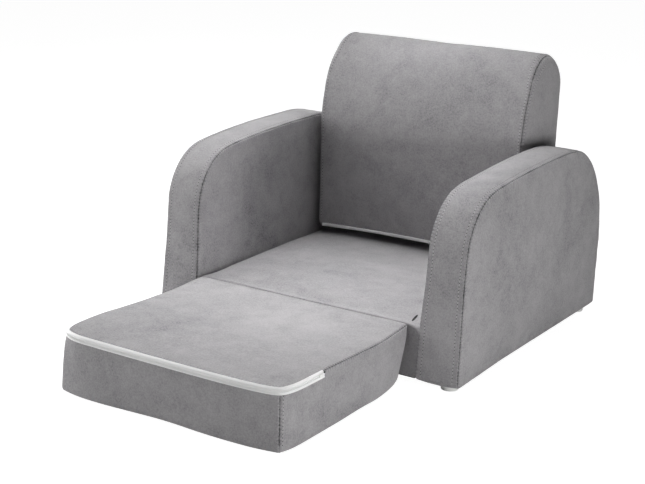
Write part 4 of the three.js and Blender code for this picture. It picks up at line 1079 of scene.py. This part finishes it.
def make_seat():
    low, high = box_mm("seat_cover")
    edge = high[2] - SEAT_CROWN[0]
    front = low[1] + SEAT_FRONT_LEAN

    def shape(level):
        """Its plan, from the rear left corner round by the front, with a wider front right corner."""
        radius = SEAT_CORNER + (SEAT_UPPER_CORNER - SEAT_CORNER) * eased(within(level, SEAT_UPPER_LEVELS))
        left, right = low[0] - SEAT_PRESSED, high[0] + SEAT_PRESSED
        small, wide = (SEAT_CORNER, SEAT_CORNER), (radius, radius * SEAT_CORNER_BACK)
        y = front - SEAT_FRONT_LEAN * (1 - level)
        return rounded(((left, high[1], small, 90, 30, 260), (left, y, small, 180, 30, 300),
                        (right, y, wide, 270, 30, 260), (right, high[1], small, 0, 30, 340)), 1, 2)

    def place(points):
        """The top sags beside each arm, just behind its front corner."""
        placed = points[:, [1, 2, 0]]
        x, y, z = points[:, 1], points[:, 2], points[:, 0]
        beside = np.exp(-((np.abs(x) - high[0]) / SEAT_SAG_ACROSS) ** 2)
        behind = np.exp(-((y - SEAT_SAG_ALONG[0]) / SEAT_SAG_ALONG[1]) ** 2)
        corner = within(x, SEAT_DROP_ACROSS) ** 1.5 * within(y, SEAT_DROP_AHEAD)
        sag = SEAT_SAG * beside * behind + SEAT_CORNER_DROP * corner
        placed[:, 2] -= sag * within(z, (0, edge)) ** 4
        return placed

    base = shape(1.0)
    spots = [(share_near(base, (x, front)), 5.0, 6.0) for x in (low[0], high[0])]
    outline = Outline(shape, SEAT_CORNERS, 40, 38, spots)
    level = lambda across: float(within(across, (low[2], edge - low[2])))
    at_front = within(outline.ring(0)[:, 1], (front + 12, -8))
    radius = SEAT_EDGE_RADIUS + (HINGE_EDGE_RADIUS - SEAT_EDGE_RADIUS) * at_front
    form = Stuffed(outline, low[2], edge, 2.0, radius, 0, (3.0, 8.0), 6, high_crown=SEAT_CROWN,
                   seam_depth=(0, 0), levels=level)
    calm = lambda p: within(p[:, 0], (low[2], 25))
    loose = lambda p: np.where(p[:, 0] > edge - 1, 1, 0.3) * within(p[:, 0], (low[2] + 6, 20))
    cover = sewn(form, "seat_base_cover", place, 31, calm, pucker=0.0, swell=1.7, loose=loose)
    # The seat's side and rear edges have real seams. The suede's painted seam shade there also stands for the
    # shadow in the narrow gap beside each arm.
    set_values(cover, "seam_gap", np.where(form.points[:, 2] > front + 14, form.gaps, NO_SEAM))
    subdivided(cover)
    lined = Outline(lambda at: inset_loop(shape(at), SEAT_FOAM_INSET), SEAT_CORNERS, 24, 24)
    foam = foam_block("seat_base_foam", place, "base", "seat_foam", lined, box_mm("seat_foam")[0][2],
                      edge - SEAT_FOAM_INSET, 2, 4, 0, FOAM_MARKS, 4, high_crown=SEAT_CROWN, levels=level)
    # A dark flat bar on the cover is painted shadow in the slit behind the front right corner.
    start, end = (np.array([x, y, high[2]]) * MM for x, y in SEAT_SLIT_SHADOW)
    on, up, _, _ = surface_of(cover).find_nearest(Vector((start + end) / 2))
    slit_shadow = capsules("seat_corner_slit_shadow", [np.array(on)], [(end - start) / np.linalg.norm(end - start)],
                      [np.array(up)], SEAT_SLIT_SHADOW_LENGTH * MM, SEAT_SLIT_SHADOW_RADIUS * MM, flat=0.5)
    finish_piece(subdivided(slit_shadow), SLIT_SHADOW, "base", "suede")
    for piece in (cover, foam, slit_shadow):
        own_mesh(piece)
    finish_piece(cover, SUEDE, "base", "suede", "seat_cover", fill=COVER_FILL)


make_seat()

# Flip pad

PAD_CROWN = (3, 60)
PAD_EDGE_RADIUS = 4.2
PAD_FOOT_RADIUS = 8
PAD_REAR_FOOT_RADIUS = 14
PAD_REAR_CORNER = 3
PAD_REAR_FOOT_CORNER = 10  # how much wider that corner is at the floor
PAD_REAR_SLANT = 19.0  # the rear face follows the seat's leaning front
PAD_RAISED = 3.2  # how much higher the upper edge stands at the front
PAD_RAISED_ZONE = (-200, -100)
PAD_RAISED_RIGHT = (40, 120)  # where it stands less high
PAD_RAISED_LESS = 0.45
PAD_SAG = 1.4
PAD_SAG_ALONG = (-150, 45)
PAD_LIFTED = 2.0  # how far the front's lower edge is off the floor
PAD_LIFTED_ACROSS = (-10, 55)
PAD_LIFTED_AHEAD = (-330, -50)
PAD_SIDE_LIFTED = 1.2
PAD_SIDE_ALONG = (-205, 35)
PAD_SIDE_ACROSS = (120, 60)
PAD_SEAM_WIDE = 2.0  # rounding of the upright seams, in points of the outline
PAD_ZIP_WIDE = 6.5  # the same behind the zip
PAD_ZIP_LEVELS = (0.78, 0.12)
PAD_MARKS = (3.0, 5.5, 7.4, 9.2, 11.4, 13.6, 16.0, 22.0)
PAD_FOAM_INSET = 4.5
PAD_GROOVE = (1.6, 1.0)  # depth and half width of the upright seams
PAD_LIP = (0.5, 2.4, 1.2)  # how far the cloth rises beside them, where, and how wide
PAD_STITCHES = 4.6  # from the upright seams
PAD_OPENING_SHADE = (3.6, 1.1)  # length and radius of the dark end of the zip, painted shade in its opening
ZIP_HEIGHT = 9.4
ZIP_BELOW_EDGE = 0.4
ZIP_SINK = 1.4
ZIP_LEAN = -0.2  # it leans back towards the top
ZIP_PAST_BOX = 2.6
ZIP_DEPTH = -2.8
ZIP_TOOTH = 3.0

# Plan of the pad, from its rear left corner round by the front, at its upper edge and at the floor.
PAD_LEFT_SIDE = (((-193.5, -84), (-192.8, -110), (-192.3, -160), (-192.4, -230), (-193.2, -276),
                  (-196.0, -296), (-196.3, -330), (-194.6, -358), (-187.5, -381.5)),
                 ((-193.5, -84), (-193.0, -110), (-193.0, -160), (-193.6, -230), (-194.6, -276),
                  (-196.0, -296), (-197.2, -330), (-197.3, -358), (-193.2, -389)))
PAD_FRONT = (((-187.5, -381.5), (-164, -390), (-140, -391.4), (-90, -392.6), (0, -393.6), (50, -393.4),
              (100, -391.2), (140, -387.8), (173.2, -381.8)),
             ((-193.2, -389), (-160, -395.4), (-120, -396.6), (-75, -395.0), (0, -394.0), (50, -394.2),
              (100, -393.4), (140, -391.0), (174.8, -384.6)))
PAD_RIGHT_SIDE = (((173.2, -381.8), (179.6, -364), (181.6, -345), (182.4, -310), (183.4, -250), (183.8, -200),
                   (183.4, -150), (181.0, -112), (177.6, -84)),
                  ((174.8, -384.6), (180.6, -366), (182.4, -345), (182.8, -310), (183.2, -250), (183.4, -200),
                   (183.0, -150), (180.6, -112), (177.2, -84)))


def curve_through(points, count):
    """A smooth open curve through a few points, evenly spaced."""
    knots = np.array(points, float)
    tangents = np.gradient(knots, axis=0)
    t = np.linspace(0, 1, 24, endpoint=False)[:, None]
    fine = [(2 * t ** 3 - 3 * t ** 2 + 1) * knots[i] + (t ** 3 - 2 * t ** 2 + t) * tangents[i]
            + (3 * t ** 2 - 2 * t ** 3) * knots[i + 1] + (t ** 3 - t ** 2) * tangents[i + 1]
            for i in range(len(knots) - 1)]
    fine = np.vstack(fine + [knots[-1:]])
    along = lengths_along(fine)
    return sampled(np.linspace(0, along[-1], count), along, fine)


def pad_shape(rear):
    """The pad's plan at a level from 0 at the floor to 1 at its upper edge."""
    def mixed(pair, level):
        return np.array(pair[1]) + (np.array(pair[0]) - np.array(pair[1])) * level

    def shape(level):
        back = rear - PAD_REAR_SLANT * (1 - level)
        left, front, right = (mixed(pair, level) for pair in (PAD_LEFT_SIDE, PAD_FRONT, PAD_RIGHT_SIDE))
        corner = PAD_REAR_CORNER + PAD_REAR_FOOT_CORNER * (1 - level) ** 2
        start, end = left[0, 0], right[-1, 0]
        parts = [
            arc((start + corner, back - corner), (corner, corner), 90, 180, 12),
            curve_through(np.vstack([[start, back - corner - 1], left[1:]]), 240),
            curve_through(front, 300),
            curve_through(np.vstack([right[:-1], [end, back - corner - 1]]), 240),
            arc((end - corner, back - corner), (corner, corner), 0, 90, 12),
            line((end - corner, back), (start + corner, back), 290),
        ]
        return closed(parts, PAD_SEAM_WIDE + (PAD_ZIP_WIDE - PAD_SEAM_WIDE) * within(level, PAD_ZIP_LEVELS))

    return shape


def pad_lift(points, edge):
    """The pad's upper edge stands higher at the front, sags behind it and meets the seat level."""
    x, y, z = points.T
    hump = lambda values, zone: np.exp(-((values - zone[0]) / zone[1]) ** 2)
    less = 1 - PAD_RAISED_LESS * within(x, PAD_RAISED_RIGHT)
    rise = PAD_RAISED * eased(within(y, PAD_RAISED_ZONE)) * less - PAD_SAG * hump(y, PAD_SAG_ALONG)
    foot = (PAD_LIFTED * hump(x, PAD_LIFTED_ACROSS) * within(y, PAD_LIFTED_AHEAD)
            + PAD_SIDE_LIFTED * hump(y, PAD_SIDE_ALONG) * within(x, PAD_SIDE_ACROSS))
    up = np.clip(z / edge, 0, 1)
    return np.column_stack([x, y, z + rise * up + foot * (1 - up) ** 2])


def make_pad():
    low, high = box_mm("pad_cover")
    edge = high[2] - PAD_CROWN[0]
    zip_middle = edge - ZIP_BELOW_EDGE - ZIP_HEIGHT / 2
    zip_stop = box_mm("pad_zip")[1][1] + ZIP_PAST_BOX
    rear = high[1] - 0.1
    shape = pad_shape(rear)
    base = shape(1.0)
    seam_places = [share_near(base, pair[0][-1]) for pair in (PAD_LEFT_SIDE, PAD_FRONT)]
    corners = [share_near(base, place) for place in (
        (-190, rear - 30), (-196, -340), (182, -340), (174, rear - 30))]
    spots = [(place, 3.5, 6.0) for place in seam_places]
    spots += [(share_near(base, (x, rear)), 5.0, 5.0) for x in (-193.5, 177)]
    outline = Outline(shape, corners, 46, 60, spots, by_share=True)
    level = lambda across: float(within(across, (0, edge)))
    plan_y = outline.ring(0)[:, 1]
    foot_radius = (PAD_FOOT_RADIUS
                   + (PAD_REAR_FOOT_RADIUS - PAD_FOOT_RADIUS) * within(plan_y, (rear - 75, 60)) ** 1.5)
    edge_radius = PAD_EDGE_RADIUS + (HINGE_EDGE_RADIUS - PAD_EDGE_RADIUS) * within(plan_y, (rear - 14, 8))
    ahead_of_stop = 1 / (1 + np.exp((plan_y - zip_stop) / 0.9))
    seam_gaps = [(outline.fractions - place) * outline.length for place in seam_places]

    def sunk(across, fractions, zone):
        """The slit behind the zip, and the upright seams at the front corners."""
        at_zip = np.exp(-((across - zip_middle) / (ZIP_HEIGHT / 2 - 0.2)) ** 10)
        sink = ZIP_SINK * at_zip * ahead_of_stop
        for gap in seam_gaps:
            groove = PAD_GROOVE[0] * np.exp(-(gap / PAD_GROOVE[1]) ** 2)
            lip = PAD_LIP[0] * np.exp(-((np.abs(gap) - PAD_LIP[1]) / PAD_LIP[2]) ** 2)
            sink = sink + (groove - lip) * (1 - at_zip)
        return sink

    def place(points):
        return pad_lift(points[:, [1, 2, 0]], edge)

    form = Stuffed(outline, 0.0, edge, foot_radius, edge_radius, 0.5, PAD_MARKS, 7, high_crown=PAD_CROWN,
                   seam_depth=(0, SEAM_DEPTH), seam_angles=(45, 54), levels=level, shift=sunk)
    seams, runs = form.gaps.copy(), form.runs.copy()
    beside = np.min([np.abs(gap) for gap in seam_gaps], axis=0)
    for here, section in zip(form.rings, form.sections):
        if section[3] == "low":
            seams[here] = NO_SEAM
        if section[3] == "band":
            height = np.broadcast_to(np.asarray(section[0], float), beside.shape)
            from_edge = np.where(height > edge / 2, edge - height, NO_SEAM)
            seams[here] = np.minimum(beside, from_edge)
            runs[here] = np.where(beside < from_edge, height, runs[here])
    off_zip = lambda p: np.abs(p[:, 0] - zip_middle)
    calm = lambda p: within(p[:, 0], (0, 20)) * np.where(off_zip(p) < ZIP_HEIGHT, 0.25, 1)
    loose = lambda p: (within(p[:, 0], (4, 25)) * within(off_zip(p), (ZIP_HEIGHT * 0.7, 8))
                       * within(p[:, 2], (rear - 24, -20)))
    cover = sewn(form, "flip_pad_cover", place, 41, calm, pucker=0.45, swell=1.1, seams=seams, runs=runs,
                 loose=loose)
    finish_piece(subdivided(cover), SUEDE, "flip_pad", "suede", "pad_cover", fill=COVER_FILL)
    lined = Outline(lambda at: inset_loop(shape(at), PAD_FOAM_INSET), corners, 20, 24, by_share=True)
    foam_block("flip_pad_foam", place, "flip_pad", "pad_foam", lined, 3.0, edge - 4, 6, 4, 0, FOAM_MARKS, 4,
               high_crown=PAD_CROWN, levels=level)

    # The zip round the front
    ring = outline.ring(0.35, level(zip_middle))
    ring = ring[ring[:, 1] < zip_stop]
    path = pad_lift(np.column_stack([ring, np.full(len(ring), zip_middle)]), edge)
    stops = path[[0, -1]]
    stops[:, 1] = zip_stop
    path = np.vstack([stops[:1], path, stops[1:]])
    run = np.gradient(path, axis=0)
    run /= np.linalg.norm(run, axis=1)[:, None]
    up = np.array([0, 0, 1.0]) - run * run[:, 2:3]
    up /= np.linalg.norm(up, axis=1)[:, None]
    section = [(o + ZIP_LEAN * u - 0.5, u * ZIP_HEIGHT / 11.6) for o, u in ZIP_SECTION]
    make_zip("flip_pad_zip", path, np.cross(run, up), up, section, ZIP_DEPTH, ZIP_TOOTH, (0.75, -0.2),
             "flip_pad", "pad_zip")

    # Topstitching beside the upright seams, on the side panels
    heights = np.arange(7, zip_middle - ZIP_HEIGHT / 2 - 1, 3.0)
    for label, seam_place, turn in (("left", seam_places[0], -1), ("right", seam_places[1], 1)):
        share = seam_place + turn * PAD_STITCHES / outline.length
        row = np.array([(*outline.at_share(share, level(z)), z) for z in heights])
        sew(f"flip_pad_stitches_{label}", pad_lift(row, edge) * MM, cover, "flip_pad")
    make_slider("flip_pad_zip_slider", stops[1] + (0.0, -2.6, 0.4), (0, -1, 0), (1, 0, 0), "pad_zip_slider")
    # A near-black bar at the zip's stop is painted shade in its open end.
    opening_shade = capsules("flip_pad_zip_opening_shade", [(stops[1] + (0.2, 0.9, 2.4)) * MM], [np.array([0, 1.0, 0])],
                     [np.array([1.0, 0, 0])], PAD_OPENING_SHADE[0] * MM, PAD_OPENING_SHADE[1] * MM)
    finish_piece(opening_shade, ZIP_OPENING_SHADE, "flip_pad", "suede")


make_pad()

# Feet and cloth hinge

FOOT_PROFILE = ((0.0, 0.25), (8.6, 0.25), (9.2, 0.0), (11.4, 0.0), (12.3, 0.25), (12.8, 0.9), (13.0, 2.0),
                (13.0, 8.2), (12.75, 9.2), (12.0, 9.85), (10.5, 10.0), (0.0, 10.0))
FOOT_FACETS = 48


def make_foot(label):
    """A turned plastic glide with a shallow hollow under it."""
    low, high = box_mm(f"foot_{label}")
    middle = (low + high) / 2
    turns = [2 * math.pi * i / FOOT_FACETS for i in range(FOOT_FACETS)]
    rings = FOOT_PROFILE[1:-1]
    points = [(middle[0] + radius * math.cos(turn), middle[1] + radius * math.sin(turn), low[2] + height)
              for radius, height in rings for turn in turns]
    faces = tube(FOOT_FACETS, len(rings))
    for start, height in ((0, FOOT_PROFILE[0][1]), (len(points) - FOOT_FACETS, FOOT_PROFILE[-1][1])):
        points.append((middle[0], middle[1], low[2] + height))
        faces += [(start + i, start + (i + 1) % FOOT_FACETS, len(points) - 1) for i in range(FOOT_FACETS)]
    foot = new_object(f"glide_{label}", mesh_from(f"glide_{label}", np.array(points) * MM, faces))
    finish_piece(foot, FOOT, "base", "foot_plastic", f"foot_{label}")


for foot_label in ("front_left", "front_right", "rear_left", "rear_right"):
    make_foot(foot_label)

STRIP_HALF_SHEET = 0.4
STRIP_START = 3.2
STRIP_WIDER = 1.1
STRIP_STEPS = 60
STRIP_WAVE = 0.25  # how far the fold rises and falls along its length
STRIP_PATH = ((0.0, 0.0), (0.1, -1.6), (0.5, -3.2), (1.1, -4.1), (2.0, -4.4), (2.9, -4.1), (3.5, -3.2),
              (3.9, -1.6), (4.0, 0.0))


def make_hinge():
    """The cloth hinge: one sheet folded down between the pad's and the seat's upper edges."""
    low, high = box_mm("hinge_strip")
    path = np.array([(low[1] + STRIP_START + y * STRIP_WIDER, high[2] + z) for y, z in STRIP_PATH])
    along = np.gradient(path, axis=0)
    side = np.stack([-along[:, 1], along[:, 0]], 1) / np.linalg.norm(along, axis=1)[:, None]
    loop = np.vstack([path + side * STRIP_HALF_SHEET, (path - side * STRIP_HALF_SHEET)[::-1]])
    points = [(x, y, z + STRIP_WAVE * wave((x, 0, 0), 40.0, 9))
              for x in np.linspace(low[0], high[0], STRIP_STEPS) for y, z in loop]
    strip = capped_tube("cloth_hinge", points, len(loop))
    set_values(strip, "seam_gap", np.full(len(points), NO_SEAM))
    set_values(strip, "seam_run", np.full(len(points), NO_SEAM))
    strip.data.materials.append(SUEDE)
    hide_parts("hinge_strip")
    length = float(lengths_along(path)[-1])
    start, end = (Vector((0, y * MM, high[2] * MM)) for y in (low[1], high[1]))
    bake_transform(strip, "flip_pad", "base", start, end)


make_hinge()

# Floor, light and camera

WORLD_LEVEL = 0.02
WHITE = (1.0, 1.0, 1.0, 1.0)
FLOOR_COLOUR = (0.88, 0.88, 0.88, 1.0)
FLOOR_SHADOW = (0.28, 0.28, 0.28, 1.0)
FLOOR_WHITE = 0.97
FLOOR_HALF = 9
LAMPS = (
    ("above_behind", (0.0, 0.8, 1.6), (0.0, 0.0, 0.15), 0.6, 180, 8.5),
    ("above_left", (-1.0, -0.6, 2.4), (0.0, 0.0, 0.15), 1.6, 180, 11.2),
    ("over_seat", (0.0, 0.25, 1.5), (0.0, 0.0, 0.1), 0.3, 35, 0.55),
    ("over_pad", (0.0, -0.45, 1.6), (0.0, -0.43, 0.15), 0.6, 60, 0.6),
    ("left", (-2.2, 0.0, 0.6), (0.0, 0.0, 0.15), 1.0, 180, 31),
    ("left_front", (-1.6, -1.6, 0.5), (0.0, 0.0, 0.15), 1.0, 180, 8.9),
    ("left_high", (-2.0, -0.8, 1.5), (0.0, 0.0, 0.15), 1.2, 180, 11.7),
    ("right_low", (1.6, -0.4, 0.15), (0.0, 0.0, 0.15), 0.5, 180, 12.8),
)


def make_floor():
    """A pale floor that the camera sees as white, with the object's shadow on it."""
    corners = [(x * FLOOR_HALF, y * FLOOR_HALF, 0) for x, y in ((-1, -1), (1, -1), (1, 1), (-1, 1))]
    floor = new_object("floor", mesh_from("floor", corners, [(0, 1, 2, 3)]))
    made = Shader("floor", Roughness=0.9, Specular_IOR_Level=0.05, Base_Color=FLOOR_COLOUR)
    paper = made.add("ShaderNodeBsdfDiffuse", None, Color=FLOOR_SHADOW)
    white = made.add("ShaderNodeEmission", None, Color=WHITE, Strength=FLOOR_WHITE)
    shown = made.add("ShaderNodeAddShader", None, **{"0": paper.outputs[0], "1": white.outputs[0]})
    seen, plain = made.add("ShaderNodeLightPath").outputs["Is Camera Ray"], made.surface.outputs[0]
    both = made.add("ShaderNodeMixShader", None, **{"0": seen, "1": plain, "2": shown.outputs[0]})
    made.feed(made.tree.nodes["Material Output"], "Surface", both.outputs[0])
    floor.data.materials.append(made.material)


def area_light(name, place, target, size, spread, power):
    light = bpy.data.lights.new(name, "AREA")
    light.shape = "DISK"
    light.size = size
    light.spread = math.radians(spread)
    light.energy = power
    made = new_object(name, light)
    made.location = place
    made.rotation_euler = (Vector(target) - Vector(place)).to_track_quat("-Z", "Y").to_euler()


def make_world():
    world = bpy.data.worlds.new("studio")
    bpy.context.scene.world = world
    world.use_nodes = True
    tree = world.node_tree
    tree.nodes.clear()
    path, lit, seen, both, out = (tree.nodes.new(f"ShaderNode{kind}") for kind in (
        "LightPath", "Background", "Background", "MixShader", "OutputWorld"))
    lit.inputs["Strength"].default_value = WORLD_LEVEL
    seen.inputs["Strength"].default_value = 1.0
    seen.inputs["Color"].default_value = WHITE
    for source, target in ((path.outputs["Is Camera Ray"], both.inputs[0]), (lit.outputs[0], both.inputs[1]),
                           (seen.outputs[0], both.inputs[2]), (both.outputs[0], out.inputs[0])):
        tree.links.new(source, target)


def make_camera():
    camera = bpy.data.cameras.new("camera")
    camera.sensor_fit = "HORIZONTAL"
    camera.sensor_width = SENSOR_MM
    camera.lens = FOCAL_PIXELS / IMAGE_WIDTH * SENSOR_MM
    camera.shift_y = CENTRE_BELOW_MIDDLE / IMAGE_WIDTH
    made = new_object("camera", camera)
    forward = Vector(CAMERA_FORWARD).normalized()
    level_right = forward.cross(Vector((0, 0, 1))).normalized()
    level_up = level_right.cross(forward)
    right = level_right * math.cos(CAMERA_ROLL) + level_up * math.sin(CAMERA_ROLL)
    up = level_up * math.cos(CAMERA_ROLL) - level_right * math.sin(CAMERA_ROLL)
    matrix = made.matrix_world.copy()
    for row in range(3):
        matrix[row] = (right[row], up[row], -forward[row], CAMERA_PLACE[row])
    made.matrix_world = matrix
    bpy.context.scene.camera = made


make_floor()
make_world()
for lamp in LAMPS:
    area_light(*lamp)
make_camera()
bpy.context.scene.view_settings.view_transform = "Standard"
